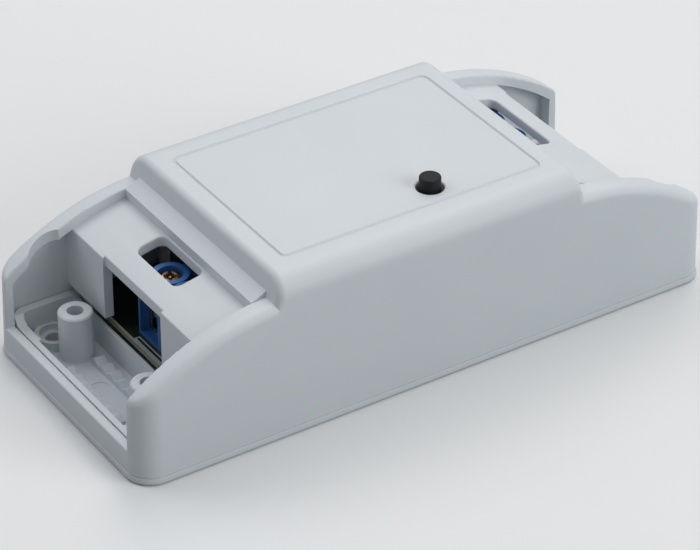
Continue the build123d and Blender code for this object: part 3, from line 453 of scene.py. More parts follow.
# %% Plated, rolled and passivated metals
def metal(name, dark, light, roughness, grain_mm, stretch):
    """A metal with grain between two hex codes; stretch says how much longer it is along X."""
    material, tree, place, normal = start_material(name)
    laid = add_node(
        tree, "ShaderNodeMapping", inputs={"Scale": (1.0 / stretch, 1.0, 1.0)}, links={"Vector": place}
    )
    grain = add_node(
        tree,
        "ShaderNodeTexNoise",
        inputs={"Scale": per_mm(grain_mm), "Detail": 3.0},
        links={"Vector": laid.outputs[0]},
    )
    tone = add_node(
        tree,
        "ShaderNodeMix",
        {"data_type": "RGBA"},
        {6: linear(dark), 7: linear(light)},
        {0: grain.outputs["Fac"]},
    )
    cloud = add_node(
        tree,
        "ShaderNodeMapRange",
        inputs={"To Min": roughness - 0.08, "To Max": roughness + 0.08},
        links={"Value": grain.outputs["Fac"]},
    )
    bump = add_node(
        tree,
        "ShaderNodeBump",
        inputs={"Strength": 0.3, "Distance": 0.006 * MM},
        links={"Height": grain.outputs["Fac"]},
    )
    surface = add_node(
        tree,
        "ShaderNodeBsdfPrincipled",
        inputs={"Metallic": 1.0},
        links={"Base Color": tone.outputs[2], "Roughness": cloud.outputs[0], "Normal": bump.outputs[0]},
    )
    add_node(tree, "ShaderNodeOutputMaterial", links={"Surface": surface.outputs[0]})
    return material


screw_steel = metal("yellow_passivated_steel", "#6A5040", "#CDAE90", 0.22, 0.9, 1.0)
clamp_nickel = metal("barrel_nickel_plate", "#A9A69E", "#CFCDC8", 0.26, 0.5, 1.0)
tinned_brass = metal("matt_tinned_brass", "#B4B2AA", "#D2D0C8", 0.34, 0.4, 1.0)
tinned_copper = metal("tinned_copper_wire", "#B9BABB", "#D9DADB", 0.30, 0.3, 1.0)
sheet_steel = metal("rolled_tinplate", "#A9ACAE", "#C9CCCE", 0.28, 0.12, 12.0)
soft_iron = metal("zinc_plated_iron", "#9A9B9A", "#B9BAB8", 0.38, 0.3, 5.0)
spring_copper = metal("rolled_beryllium_copper", "#B97A48", "#D79A63", 0.26, 0.12, 12.0)
solder = metal("bright_solder", "#B4B8BC", "#DCDEE0", 0.20, 0.8, 1.0)
POLES = [("input", 1), ("input", 2), ("output", 1), ("output", 2), ("output", 3)]
dress(clamp_nickel, *[f"{end}_clamp_{pole}" for end, pole in POLES])
dress(screw_steel, *[f"{end}_screw_{pole}" for end, pole in POLES])
dress(tinned_brass, "input_terminal_contacts", "output_terminal_contacts", "header_pin_set")
dress(tinned_copper, "component_leads", "tact_switch_legs", "relay_pin_set")
dress(sheet_steel, "tact_switch_cover", "tact_switch_dome", "radio_shield")
dress(soft_iron, "relay_yoke", "relay_core", "relay_armature")
dress(spring_copper, "relay_blade", "relay_fixed_contact")


# %% [markdown]
# ## Wound coils
# The relay coil and the inductor are wound with lacquered copper wire. The relay's wire is under
# 0.1 mm thick, which no render of the whole object can show, so both are drawn far coarser than
# they are, with turns 2.2 mm apart. A wave along Z gives each turn a round bump, and it also paints
# each turn's crown bright and its seam dark: a painted highlight and painted shade.

# %% Lacquered copper windings
TURN_SPACING = 2.2
material, tree, place, normal = start_material("lacquered_copper_wire")
turns = add_node(
    tree,
    "ShaderNodeTexWave",
    {"bands_direction": "Z"},
    {"Scale": band_scale(TURN_SPACING), "Distortion": 0.4},
    {"Vector": place},
)
# Painted highlight on each turn's crown and painted shade in the seam between turns
tone = add_node(
    tree,
    "ShaderNodeMix",
    {"data_type": "RGBA"},
    {6: linear("#5A2A12"), 7: linear("#B8693A")},
    {0: turns.outputs["Fac"]},
)
bump = add_node(
    tree,
    "ShaderNodeBump",
    inputs={"Strength": 0.8, "Distance": 0.08 * MM},
    links={"Height": turns.outputs["Fac"]},
)
surface = add_node(
    tree,
    "ShaderNodeBsdfPrincipled",
    inputs={"Metallic": 1.0, "Roughness": 0.35, "Coat Weight": 0.5, "Coat Roughness": 0.15},
    links={"Base Color": tone.outputs[2], "Normal": bump.outputs[0]},
)
add_node(tree, "ShaderNodeOutputMaterial", links={"Surface": surface.outputs[0]})
dress(material, "relay_winding", "inductor_winding")


# %% [markdown]
# ## Ferrite
# Ferrite is pressed and fired iron oxide powder. It looks like dark slate: almost black, with
# brighter grains that are a few hundredths of a millimetre wide, drawn at 0.2 mm. Cells of a
# Voronoi texture, each of its own random grey, look more like grains than a cloudy noise does.

# %% Ferrite cores
material, tree, place, normal = start_material("fired_ferrite")
grains = add_node(tree, "ShaderNodeTexVoronoi", inputs={"Scale": per_mm(0.2)}, links={"Vector": place})
tone = add_node(
    tree,
    "ShaderNodeMix",
    {"data_type": "RGBA"},
    {6: linear("#232426"), 7: linear("#4A4B4E")},
    {0: grains.outputs["Color"]},
)
bump = add_node(
    tree,
    "ShaderNodeBump",
    inputs={"Strength": 0.4, "Distance": 0.02 * MM},
    links={"Height": grains.outputs["Distance"]},
)
surface = add_node(
    tree,
    "ShaderNodeBsdfPrincipled",
    inputs={"Roughness": 0.58, "IOR": 2.3},
    links={"Base Color": tone.outputs[2], "Normal": bump.outputs[0]},
)
add_node(tree, "ShaderNodeOutputMaterial", links={"Surface": surface.outputs[0]})
dress(material, "transformer_core", "inductor_core")


# %% [markdown]
# ## Tape round the transformer
# Yellow polyester tape is wound over the transformer's copper. The wire under it shows as faint
# ribs, drawn coarser than they are, at 3.14 mm apart. The film is glossy, so it gets a clear coat
# over a ribbed bump. The same wave paints each rib lighter on its crown and darker between ribs,
# as painted light and shade.

# %% Polyester tape
RIB_SPACING = 3.14
material, tree, place, normal = start_material("yellow_polyester_tape")
ribs = add_node(
    tree,
    "ShaderNodeTexWave",
    {"bands_direction": "Z"},
    {"Scale": band_scale(RIB_SPACING), "Distortion": 0.8},
    {"Vector": place},
)
# Painted light and shade: the yellow is lighter on each rib's crown and darker between ribs
tone = add_node(
    tree,
    "ShaderNodeMix",
    {"data_type": "RGBA"},
    {6: linear("#C79A24"), 7: linear("#E3BC3E")},
    {0: ribs.outputs["Fac"]},
)
bump = add_node(
    tree,
    "ShaderNodeBump",
    inputs={"Strength": 0.4, "Distance": 0.04 * MM},
    links={"Height": ribs.outputs["Fac"]},
)
surface = add_node(
    tree,
    "ShaderNodeBsdfPrincipled",
    inputs={"Roughness": 0.42, "IOR": 1.57, "Coat Weight": 0.6, "Coat Roughness": 0.12},
    links={"Base Color": tone.outputs[2], "Normal": bump.outputs[0]},
)
add_node(tree, "ShaderNodeOutputMaterial", links={"Surface": surface.outputs[0]})
dress(material, "transformer_winding")


# %% [markdown]
# ## Capacitor sleeves
# An electrolytic capacitor is an aluminium can in a shrunk plastic sleeve. A pale stripe down one
# side marks the negative lead. The stripe is the part of the can whose direction from the can's
# axis lies within 25 degrees of -X, and a Mapping node puts that axis at the middle of each can.
# The sleeve leaves the can's top bare, so a face that looks up is aluminium.

# %% Capacitors
def shrink_sleeve(name, can):
    """A dark sleeve with a pale stripe on the -X side of one can."""
    low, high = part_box(can)
    material, tree, place, normal = start_material(name)
    centred = add_node(
        tree,
        "ShaderNodeMapping",
        inputs={"Location": (-(low.x + high.x) / 2, -(low.y + high.y) / 2, 0.0)},
        links={"Vector": place},
    )
    around = add_node(tree, "ShaderNodeSeparateXYZ", links={0: centred.outputs[0]})
    angle = add_node(
        tree,
        "ShaderNodeMath",
        {"operation": "ARCTAN2"},
        links={0: around.outputs["Y"], 1: around.outputs["X"]},
    )
    turned = add_node(tree, "ShaderNodeMath", {"operation": "ABSOLUTE"}, links={0: angle.outputs[0]})
    stripe = add_node(
        tree,
        "ShaderNodeMath",
        {"operation": "GREATER_THAN"},
        {1: pi - radians(25.0)},
        {0: turned.outputs[0]},
    )
    tone = add_node(
        tree,
        "ShaderNodeMix",
        {"data_type": "RGBA"},
        {6: linear("#1B1C26"), 7: linear("#A9ABB0")},
        {0: stripe.outputs[0]},
    )
    facing = add_node(tree, "ShaderNodeSeparateXYZ", links={0: normal})
    bare = add_node(
        tree, "ShaderNodeMath", {"operation": "GREATER_THAN"}, {1: 0.9}, {0: facing.outputs["Z"]}
    )
    tone = add_node(
        tree,
        "ShaderNodeMix",
        {"data_type": "RGBA"},
        {7: linear("#C4C7CA")},
        {0: bare.outputs[0], 6: tone.outputs[2]},
    )
    creases = add_node(
        tree,
        "ShaderNodeTexNoise",
        inputs={"Scale": per_mm(1.6), "Detail": 2.0},
        links={"Vector": place},
    )
    bump = add_node(
        tree,
        "ShaderNodeBump",
        inputs={"Strength": 0.3, "Distance": 0.03 * MM},
        links={"Height": creases.outputs["Fac"]},
    )
    surface = add_node(
        tree,
        "ShaderNodeBsdfPrincipled",
        inputs={"Roughness": 0.3, "IOR": 1.54},
        links={"Base Color": tone.outputs[2], "Metallic": bare.outputs[0], "Normal": bump.outputs[0]},
    )
    add_node(tree, "ShaderNodeOutputMaterial", links={"Surface": surface.outputs[0]})
    return material


for can in ("capacitor_1", "capacitor_2"):
    dress(shrink_sleeve(f"shrink_sleeve_{can[-1]}", can), can)


# %% [markdown]
# ## Dipped and painted parts
# The varistor is a disc dipped in blue epoxy, which dries with a slow ripple. The fusible resistor
# is coated with matt grey-green cement, and rings of paint round it give its value. The rings are
# steps of a colour ramp along the resistor's length.

# %% Varistor and fusible resistor
varistor_epoxy = moulding("dipped_blue_epoxy", "#1E4280", "#2C5596", 0.22, 1.55, 2.2, 0.06)
dress(varistor_epoxy, "varistor")

low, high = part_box("fusible_resistor")
material, tree, place, normal = start_material("cement_with_value_rings")
along = add_node(tree, "ShaderNodeSeparateXYZ", links={0: place})
share = add_node(
    tree,
    "ShaderNodeMapRange",
    inputs={"From Min": low.x, "From Max": high.x},
    links={"Value": along.outputs["X"]},
)
rings = add_node(tree, "ShaderNodeValToRGB", links={0: share.outputs[0]})
rings.color_ramp.interpolation = "CONSTANT"
# Each ring starts at a share of the length; the last one, the tolerance, stands a little apart
CEMENT = "#66705F"
RING_W = 0.06
steps = [(0.0, CEMENT)]
for start, paint in ((0.22, "#3A2A20"), (0.36, "#15151A"), (0.50, "#1A1B1D"), (0.69, "#B59A4A")):
    steps += [(start, paint), (start + RING_W, CEMENT)]
while len(rings.color_ramp.elements) < len(steps):
    rings.color_ramp.elements.new(0.5)
for element, (position, paint) in zip(rings.color_ramp.elements, steps):
    element.position = position
    element.color = linear(paint)
grit = add_node(
    tree, "ShaderNodeTexNoise", inputs={"Scale": per_mm(0.3), "Detail": 3.0}, links={"Vector": place}
)
bump = add_node(
    tree,
    "ShaderNodeBump",
    inputs={"Strength": 0.5, "Distance": 0.03 * MM},
    links={"Height": grit.outputs["Fac"]},
)
surface = add_node(
    tree,
    "ShaderNodeBsdfPrincipled",
    inputs={"Roughness": 0.72, "IOR": 1.5},
    links={"Base Color": rings.outputs["Color"], "Normal": bump.outputs[0]},
)
add_node(tree, "ShaderNodeOutputMaterial", links={"Surface": surface.outputs[0]})
dress(material, "fusible_resistor")
print("paint starts at", [position for position, paint in steps[1::2]], "of the length")


# %% [markdown]
# ## Radio module and lamp
# The radio module is a small board of its own, under blue lacquer. The status lamp is a chip of
# clear epoxy over a yellowish phosphor, so it lets part of the light through.

# %% Module laminate and lamp
dress(moulding("blue_masked_laminate", "#13284A", "#1B3560", 0.34, 1.52, 1.2, 0.01), "radio_module")

material, tree, place, normal = start_material("clear_lamp_epoxy")
low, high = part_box("status_led")
around = add_node(
    tree, "ShaderNodeMapping", inputs={"Location": tuple(-(low + high) / 2)}, links={"Vector": place}
)
reach = add_node(tree, "ShaderNodeVectorMath", {"operation": "LENGTH"}, links={0: around.outputs[0]})
phosphor = add_node(
    tree,
    "ShaderNodeMapRange",
    inputs={"From Min": 0.35 * MM, "From Max": 0.5 * MM},
    links={"Value": reach.outputs["Value"]},
)
tone = add_node(
    tree,
    "ShaderNodeMix",
    {"data_type": "RGBA"},
    {6: linear("#D9CF7A"), 7: linear("#E4E8E2")},
    {0: phosphor.outputs[0]},
)
surface = add_node(
    tree,
    "ShaderNodeBsdfPrincipled",
    inputs={"Roughness": 0.12, "IOR": 1.5, "Transmission Weight": 0.35},
    links={"Base Color": tone.outputs[2]},
)
add_node(tree, "ShaderNodeOutputMaterial", links={"Surface": surface.outputs[0]})
dress(material, "status_led")


# %% [markdown]
# ## Edit-mode helpers
# Every new piece below is modelled as by hand: a primitive at its size and place, then edit-mode
# operators on faces that are picked by their place. One helper opens a piece in edit mode with
# chosen vertices or faces selected, another applies a modifier, and a third puts a finished piece
# on its CAD body with the finish that it is given. A CAD node comes as loose
# triangles, so a copy of one is welded before it is changed.

# %% Helpers to select, apply and weld
# Bisect's own threshold of 0.1 mm would move points that far on to the cut
WELD = 0.0002 * MM
CUT_THRESHOLD = 0.0001 * MM


def edit(piece, mode="VERT", pick=None):
    """Open a piece in edit mode; pick tells from a vertex or face whether it is selected."""
    deselect_all()
    bpy.context.view_layer.objects.active = piece
    piece.select_set(True)
    bpy.ops.object.mode_set(mode="EDIT")
    bpy.ops.mesh.select_mode(type=mode)
    bpy.ops.mesh.select_all(action="SELECT" if pick is None else "DESELECT")
    if pick is not None:
        bpy.ops.object.mode_set(mode="OBJECT")
        for part in piece.data.vertices if mode == "VERT" else piece.data.polygons:
            part.select = bool(pick(part))
        bpy.ops.object.mode_set(mode="EDIT")


def apply_modifier(piece, kind, **settings):
    """Add one modifier with its settings and make its result the piece's mesh."""
    deselect_all()
    bpy.context.view_layer.objects.active = piece
    piece.select_set(True)
    bpy.ops.object.modifier_add(type=kind)
    modifier = piece.modifiers[-1]
    for name, value in settings.items():
        setattr(modifier, name, value)
    bpy.ops.object.modifier_apply(modifier=modifier.name)


def round_edges(piece, width, angle=50):
    """A bevel of so many millimetres on every edge that bends by more than so many degrees."""
    apply_modifier(
        piece, "BEVEL", width=width * MM, segments=2, limit_method="ANGLE", angle_limit=radians(angle)
    )


def cut_away(piece, cutter):
    """Cut a block out of a piece, and remove the block."""
    apply_modifier(piece, "BOOLEAN", operation="DIFFERENCE", solver="EXACT", object=cutter)
    bpy.data.objects.remove(cutter)


def welded_copy(node, name):
    """A copy of a CAD node with its own mesh, whose triangles share their corners."""
    twin = bpy.data.objects.new(name, nodes[node].data.copy())
    bpy.context.scene.collection.objects.link(twin)
    edit(twin)
    bpy.ops.mesh.customdata_custom_splitnormals_clear()
    bpy.ops.mesh.remove_doubles(threshold=WELD)
    deselect_all()
    return twin


def close_up(piece, angle):
    """Merge doubles, turn all faces outwards, and smooth what bends less than so many degrees."""
    edit(piece)
    bpy.ops.mesh.remove_doubles(threshold=WELD)
    bpy.ops.mesh.normals_make_consistent(inside=False)
    deselect_all()
    piece.select_set(True)
    bpy.context.view_layer.objects.active = piece
    bpy.ops.object.shade_smooth_by_angle(angle=radians(angle))


print("points closer than", round(WELD / MM, 5), "mm are merged")


# %% Helpers to copy, join and hand over
def copy_piece(piece, name, move=(0.0, 0.0, 0.0), turn=0.0):
    """A copy with its own mesh, turned about Z and then moved, both in the mesh."""
    twin = piece.copy()
    twin.data = piece.data.copy()
    twin.name = name
    bpy.context.scene.collection.objects.link(twin)
    twin.data.transform(Matrix.Translation(Vector(move)) @ Matrix.Rotation(turn, 4, "Z"))
    return twin


def join(name, pieces):
    """One piece of several, under a new name."""
    deselect_all()
    for piece in pieces:
        piece.select_set(True)
    bpy.context.view_layer.objects.active = pieces[0]
    bpy.ops.object.join()
    pieces[0].name = name
    return pieces[0]


def hand_over(piece, body, material):
    """Put a finished piece on its CAD body, with the finish that it is given."""
    deselect_all()
    piece.select_set(True)
    bpy.context.view_layer.objects.active = piece
    bpy.ops.object.transform_apply(location=True, rotation=True, scale=True)
    piece.data.materials.clear()
    piece.data.materials.append(material)
    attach(piece, body)
    print(f"{piece.name:28s} {len(piece.data.polygons):6d} faces on {body}")


def block(name, low, high):
    """A box between two corners, in millimetres, as a start to model from."""
    deselect_all()
    middle = [(a + b) / 2 * MM for a, b in zip(low, high)]
    bpy.ops.mesh.primitive_cube_add(size=1.0, location=middle)
    piece = bpy.context.object
    piece.name = name
    piece.scale = [(b - a) * MM for a, b in zip(low, high)]
    bpy.ops.object.transform_apply(location=True, rotation=False, scale=True)
    return piece


def middle_of(low, high):
    """The point half way between two corners in plan, at height zero."""
    return ((low.x + high.x) / 2, (low.y + high.y) / 2, 0.0)


place = middle_of(*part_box("input_screw_1"))
print("the first screw stands at", [round(v / MM, 2) for v in place[:2]], "mm")


# %% [markdown]
# ## Terminal screws
# A terminal screw has a low, round-shouldered head with a slot and a short cross, so that either
# screwdriver fits, and a metric thread that draws the clamp up. The head is a cylinder with a
# bevelled rim, and three blocks are cut out of it. The thread is a real helix: a line as tall as the
# pitch, with its middle pulled out to the crest, is swept round by a Screw modifier, and bisecting
# gives it flat ends. One screw is modelled on the Z axis, and the five copies stand at their own
# angles, as nobody aligns them.

# %% One screw on the Z axis
low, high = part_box("input_screw_1")
HEAD_R = (high.x - low.x) / 2
HEAD_TOP = high.z
HEAD_H = 1.6 * MM
HEAD_BOTTOM = HEAD_TOP - HEAD_H
SHOULDER = 0.5 * MM
UNDERCUT = 0.08 * MM
TIP = low.z
PITCH = 0.45 * MM
CORE_R = 0.98 * MM
THREAD_R = 1.19 * MM

deselect_all()
bpy.ops.mesh.primitive_cylinder_add(
    vertices=64, radius=HEAD_R, depth=HEAD_H, location=(0, 0, (HEAD_TOP + HEAD_BOTTOM) / 2)
)
head = bpy.context.object
head.name = "screw_head"
bpy.ops.object.transform_apply(location=True, rotation=False, scale=False)
edit(head, "FACE", lambda face: face.normal.z > 0.9)
bpy.ops.mesh.bevel(offset=SHOULDER, offset_type="OFFSET", segments=5, profile=0.55, affect="EDGES")
edit(head, "FACE", lambda face: face.normal.z < -0.9)
bpy.ops.mesh.bevel(offset=UNDERCUT, offset_type="OFFSET", segments=2, affect="EDGES")

# The slot, the cross and the deeper middle, each narrower at its floor than at the top
top = HEAD_TOP / MM
cuts = [
    block("slot_cut", (-2.0, -0.26, top - 0.62), (2.0, 0.26, top + 0.5)),
    block("cross_cut", (-0.26, -0.95, top - 0.85), (0.26, 0.95, top + 0.5)),
    block("centre_cut", (-0.55, -0.55, top - 1.0), (0.55, 0.55, top + 0.5)),
]
for cut in cuts:
    edit(cut, "FACE", lambda face: face.normal.z < -0.9)
    bpy.ops.transform.resize(value=(0.9, 0.62, 1.0), center_override=(0.0, 0.0, HEAD_TOP))
    cut_away(head, cut)
round_edges(head, 0.035)
print("head of", len(head.data.polygons), "faces, radius", round(HEAD_R / MM, 2), "mm")

# %% Its thread
START = TIP - PITCH / 2
TURN_WELD = 0.002 * MM

deselect_all()
bpy.ops.mesh.primitive_grid_add(
    x_subdivisions=1,
    y_subdivisions=4,
    size=PITCH,
    location=(CORE_R - PITCH / 2, 0, START),
    rotation=(pi / 2, 0, 0),
)
shank = bpy.context.object
shank.name = "screw_shank"
bpy.ops.object.transform_apply(location=True, rotation=True, scale=False)
edit(shank, "VERT", lambda corner: corner.co.x < CORE_R - PITCH / 2)
bpy.ops.mesh.delete(type="VERT")
edit(shank, "VERT", lambda corner: abs(corner.co.z - START) < PITCH / 16)
bpy.ops.transform.translate(value=(THREAD_R - CORE_R, 0, 0))
turns = int((HEAD_BOTTOM - TIP) / PITCH) + 3
apply_modifier(
    shank,
    "SCREW",
    axis="Z",
    angle=2 * pi,
    steps=32,
    render_steps=32,
    screw_offset=PITCH,
    iterations=turns,
    use_merge_vertices=True,
)
edit(shank)
bpy.ops.mesh.remove_doubles(threshold=TURN_WELD)
deselect_all()
print("thread of", turns, "turns")

# %% Its flat ends, and the whole screw
# Both cuts pass between two rows of points, because a cut through a point leaves slivers
LOW_CUT = TIP + 0.263 * MM
HIGH_CUT = HEAD_BOTTOM + 0.187 * MM
POINT_H = 0.25 * MM
POINT_TAPER = 0.78

for height, clear_low in ((LOW_CUT, True), (HIGH_CUT, False)):
    edit(shank)
    bpy.ops.mesh.bisect(
        plane_co=(0, 0, height),
        plane_no=(0, 0, 1),
        use_fill=True,
        clear_inner=clear_low,
        clear_outer=not clear_low,
        threshold=CUT_THRESHOLD,
    )
edit(
    shank, "FACE", lambda face: abs(face.normal.z) > 0.999 and abs(face.center.z - LOW_CUT) < 0.001 * MM
)
bpy.ops.mesh.extrude_region_move(TRANSFORM_OT_translate={"value": (0, 0, -POINT_H)})
bpy.ops.transform.resize(value=(POINT_TAPER, POINT_TAPER, 1.0), center_override=(0, 0, TIP))
close_up(head, 40)
close_up(shank, 40)
screw = join("turned_screw", [head, shank])
print("the screw has", len(screw.data.polygons), "faces")

# %% Five copies, each at its own angle in radians
for end, angles in (("input", (1.12, -0.42)), ("output", (0.35, 1.9, -0.8))):
    for pole, angle in enumerate(angles, start=1):
        place = middle_of(*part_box(f"{end}_screw_{pole}"))
        copy = copy_piece(screw, f"turned_{end}_screw_{pole}", place, angle)
        hand_over(copy, f"{end}_screw_{pole}", screw_steel)
        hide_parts(f"{end}_screw_{pole}")
bpy.data.objects.remove(screw)


# %% [markdown]
# ## The base plate, carved closer to the photo
# Seen from above, the base plate's rim is thinner across each end than along the sides, and its
# cable grips are low, 1.2 mm high with a saw-toothed top. The CAD plate has a thicker rim and taller
# grips. So a copy is welded, and three kinds of blocks are cut from it at each end: one takes the
# inner 0.37 mm of the rim with the outer grip behind it, and two take the inner grip in two steps,
# which leave the fillet at the foot of each post alone. Sizes are in millimetres.

# %% Weld a copy and cut the rim and grips
FLOOR = 1.2
JUST_UNDER = FLOOR - 0.002
ABOVE_FILLET = FLOOR + 0.62
OVER_ALL = 8.0
plate = welded_copy("base_plate", "carved_base_plate")
for side in (-1, 1):
    for name, near, far, half_width, bottom in (
        ("rim_cut", 40.0, 41.50, 10.9, JUST_UNDER),
        ("low_grip_cut", 34.9, 36.12, 6.6, JUST_UNDER),
        ("high_grip_cut", 34.95, 36.10, 7.3, ABOVE_FILLET),
    ):
        x = sorted((side * near, side * far))
        cut_away(plate, block(name, (x[0], -half_width, bottom), (x[1], half_width, OVER_ALL)))
print("plate carved, now", len(plate.data.polygons), "faces")


# %% [markdown]
# ## A shadow line at the seam
# In the photo a thin dark line runs round the object where the shell meets the plate. So the
# plate's side is cut 0.15 mm below its top. The ring of points on top is drawn in under the shell,
# by one scale along each axis, and the new ring below it by less. That leaves a fine groove in
# which the light dies.

# %% Draw the plate's top edge in
def beyond(point, half_x, half_y, radius):
    """How far a point lies outside a rounded rectangle in plan, in millimetres."""
    over_x = abs(point.x) / MM - half_x + radius
    over_y = abs(point.y) / MM - half_y + radius
    corner = (max(over_x, 0.0) ** 2 + max(over_y, 0.0) ** 2) ** 0.5
    return corner + min(max(over_x, over_y), 0.0) - radius


def draw_in(piece, height, outline, inset):
    """Scale the points of one outline at one height, so that its sides move in by the inset."""
    half_x, half_y, radius = outline

    def on_outline(corner):
        level = abs(corner.co.z / MM - height) < 0.01
        return level and abs(beyond(corner.co, half_x, half_y, radius)) < 0.06

    edit(piece, "VERT", on_outline)
    factors = ((half_x - inset) / half_x, (half_y - inset) / half_y, 1.0)
    bpy.ops.transform.resize(value=factors, center_override=(0.0, 0.0, height * MM))
    deselect_all()


PLATE_OUTLINE = (44.0, 19.2, 3.7)
SEAM_LOW = FLOOR - 0.15
TOP_INSET, LOW_INSET = 0.34, 0.10
edit(
    plate,
    "FACE",
    lambda face: abs(face.normal.z) < 0.1 and abs(beyond(face.center, *PLATE_OUTLINE)) < 0.1,
)
bpy.ops.mesh.bisect(plane_co=(0, 0, SEAM_LOW * MM), plane_no=(0, 0, 1), threshold=CUT_THRESHOLD)
draw_in(plate, FLOOR, PLATE_OUTLINE, TOP_INSET)
draw_in(plate, SEAM_LOW, PLATE_OUTLINE, LOW_INSET)
close_up(plate, 32)
hand_over(plate, "housing", plate_abs)
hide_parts("base_plate")


# %% [markdown]
# ## A softer label groove
# The groove round the label's place looks broad and soft in the photo, because its walls lean. The
# CAD groove has upright walls, so the two outlines of its floor are drawn together. Where a rail's
# fillet runs out, the CAD mesh has slivers, so each such spot becomes one point.

# %% Weld the shell and lean the groove's walls
SLIVER = 0.0015 * MM
SPOT_X, SPOT_Y, SPOT_Z, SPOT_R = 43.54, -15.555, 4.4, 0.06
GROOVE_X, GROOVE_Y, GROOVE_R = 19.6, 13.55, 1.0
GROOVE_HALF_W = 0.35
GROOVE_FLOOR = 22.85
LEAN = 0.17

shell = welded_copy("upper_housing", "softened_upper_housing")
for end in (-1, 1):
    spot = Vector((SPOT_X * end, SPOT_Y * end, SPOT_Z)) * MM
    edit(shell, "VERT", lambda corner: (corner.co - spot).length < SPOT_R * MM)
    bpy.ops.mesh.merge(type="CENTER")
edit(shell)
bpy.ops.mesh.dissolve_degenerate(threshold=SLIVER)
for side in (1, -1):
    outline = [size + side * GROOVE_HALF_W for size in (GROOVE_X, GROOVE_Y, GROOVE_R)]
    draw_in(shell, GROOVE_FLOOR, outline, side * LEAN)
close_up(shell, 32)
hand_over(shell, "housing", shell_abs)
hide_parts("upper_housing")


# %% [markdown]
# ## Saw-toothed cable grips
# Four low bars with seven teeth each bite into the cable's sheath. A bar starts as a grid with one
# row of points for each ridge and valley. Every second row is lifted, the whole grid is extruded
# down and flattened into the plate, and a small bevel rounds the ridges as a mould does.

# %% One grip and its copies
TEETH = 7
TOOTH_PITCH = 2.05
GRIP_T = 1.5
GRIP_PLACES = (-39.86, -35.36, 35.36, 39.86)
VALLEY = FLOOR + 0.6
RIDGE = FLOOR + 1.2
ROOT = FLOOR - 0.3

deselect_all()
bpy.ops.mesh.primitive_grid_add(
    x_subdivisions=1, y_subdivisions=2 * TEETH, size=1.0, location=(0, 0, VALLEY * MM)
)
grip = bpy.context.object
grip.name = "cable_grip"
grip.scale = (GRIP_T * MM, TEETH * TOOTH_PITCH * MM, 1.0)
bpy.ops.object.transform_apply(location=True, rotation=False, scale=True)
edit(grip, "VERT", lambda point: round(point.co.y / (TOOTH_PITCH * MM / 2) + TEETH) % 2 == 1)
bpy.ops.transform.translate(value=(0, 0, (RIDGE - VALLEY) * MM))
bpy.ops.mesh.select_all(action="SELECT")
bpy.ops.mesh.extrude_region_move(TRANSFORM_OT_translate={"value": (0, 0, (ROOT - RIDGE) * MM)})
bpy.ops.transform.resize(value=(1, 1, 0), center_override=(0, 0, ROOT * MM))
close_up(grip, 30)
round_edges(grip, 0.07, 25)
close_up(grip, 30)
for number, x in enumerate(GRIP_PLACES, start=1):
    copy = copy_piece(grip, f"cable_grip_{number}", (x * MM, 0, 0))
    hand_over(copy, "housing", plate_abs)
bpy.data.objects.remove(grip)


# %% [markdown]
# ## Printed lines on the board
# Pale ink is screen-printed on the board at its end, as two lines along Y that one short line
# joins. The ink stands 0.03 mm proud of the lacquer. It starts as one small block in the corner
# where the outer line meets the short one, and each stroke of the ink is a face that is extruded.

# %% Four strokes from one block
INK_W = 0.22
INK_T = 0.03
INK_X, INK_Y = -32.06, 2.4
INK_GAP = 0.37
OUTER_LINE, INNER_LINE = 6.9, 5.9

board_low, board_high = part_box("circuit_board")
ink_z = board_high.z / MM
inner_x = INK_X + INK_W + INK_GAP
ink = block(
    "screen_printed_lines", (INK_X, INK_Y, ink_z), (INK_X + INK_W, INK_Y + INK_W, ink_z + INK_T)
)


def short_line_end(face):
    """Whether a face is the end of the short line, which looks along +X."""
    return face.normal.x > 0.9 and face.center.y > INK_Y * MM


strokes = (
    ((0.0, -OUTER_LINE, 0.0), lambda face: face.normal.y < -0.9),
    ((INK_GAP, 0.0, 0.0), short_line_end),
    ((INK_W, 0.0, 0.0), short_line_end),
    ((0.0, -INNER_LINE, 0.0), lambda face: face.normal.y < -0.9 and face.center.x > inner_x * MM),
)
for stroke, pick in strokes:
    edit(ink, "FACE", pick)
    bpy.ops.mesh.extrude_region_move(TRANSFORM_OT_translate={"value": [MM * step for step in stroke]})
round_edges(ink, 0.008)
close_up(ink, 40)
hand_over(ink, "housing", screen_ink)


# %% [markdown]
# ## Solder joints
# Every lead that comes through the board is soldered to its copper ring below. Surface tension
# draws the solder up the lead in a hollow cone, so each joint is a cylinder whose lower rings
# are drawn in. One joint is modelled at the board's underside, and a copy goes to each lead.

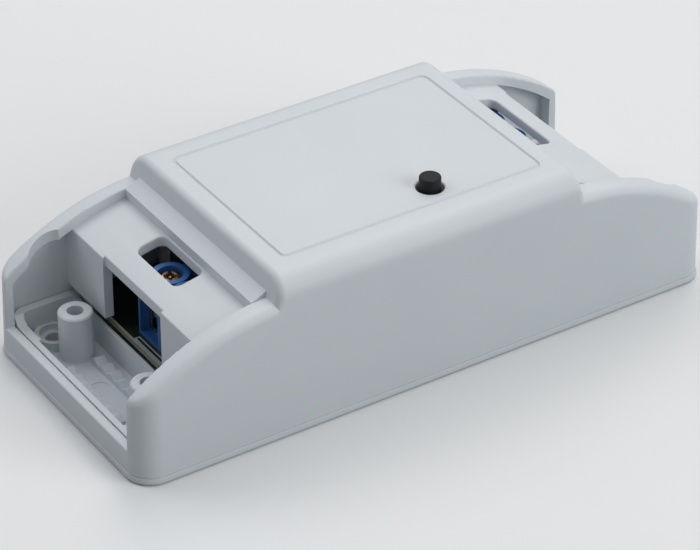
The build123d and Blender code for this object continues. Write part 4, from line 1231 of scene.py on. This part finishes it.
# %% Where the leads come through the board
def islands(piece):
    """Low and high corner of each connected part of a mesh."""
    corners = [corner.co for corner in piece.data.vertices]
    group = list(range(len(corners)))

    def root(index):
        while group[index] != index:
            group[index] = group[group[index]]
            index = group[index]
        return index

    for edge in piece.data.edges:
        group[root(edge.vertices[0])] = root(edge.vertices[1])
    parts = {}
    for index, corner in enumerate(corners):
        parts.setdefault(root(index), []).append(corner)
    return [
        tuple(Vector([end(corner[axis] for corner in part) for axis in range(3)]) for end in (min, max))
        for part in parts.values()
    ]


under = board_low.z
leads = []
for name in ("component_leads", "tact_switch_legs", "relay_pin_set", "header_pin_set"):
    twin = welded_copy(name, f"{name}_welded")
    found = islands(twin)
    through = [pair for pair in found if pair[0].z < under - 0.3 * MM and pair[1].z > under]
    print(name, len(found), "parts,", len(through), "through the board")
    leads += through
    bpy.data.objects.remove(twin)

# %% One joint and its copies
# Each lower ring goes down by so many millimetres and keeps so large a share of the width above
FOOT_R = 0.78 * MM
FOOT_H = 0.06 * MM
RINGS = ((0.14, 0.76), (0.18, 0.8), (0.22, 0.86), (0.10, 0.9))

deselect_all()
bpy.ops.mesh.primitive_cylinder_add(
    vertices=32, radius=FOOT_R, depth=FOOT_H, location=(0, 0, under - FOOT_H / 2)
)
joint = bpy.context.object
bpy.ops.object.transform_apply(location=True, rotation=False, scale=False)
bottom = under - FOOT_H
for drop, taper in RINGS:
    edit(joint, "FACE", lambda face: face.normal.z < -0.9 and face.center.z < bottom + 0.01 * MM)
    bpy.ops.mesh.extrude_region_move(TRANSFORM_OT_translate={"value": (0, 0, -drop * MM)})
    bottom -= drop * MM
    bpy.ops.transform.resize(value=(taper, taper, 1.0), center_override=(0, 0, bottom))
round_edges(joint, 0.02)
close_up(joint, 60)
drops = [copy_piece(joint, f"solder_{index}", middle_of(*lead)) for index, lead in enumerate(leads)]
bpy.data.objects.remove(joint)
hand_over(join("solder_joints", drops), "housing", solder)
print(len(leads), "joints below", round(under / MM, 2), "mm")
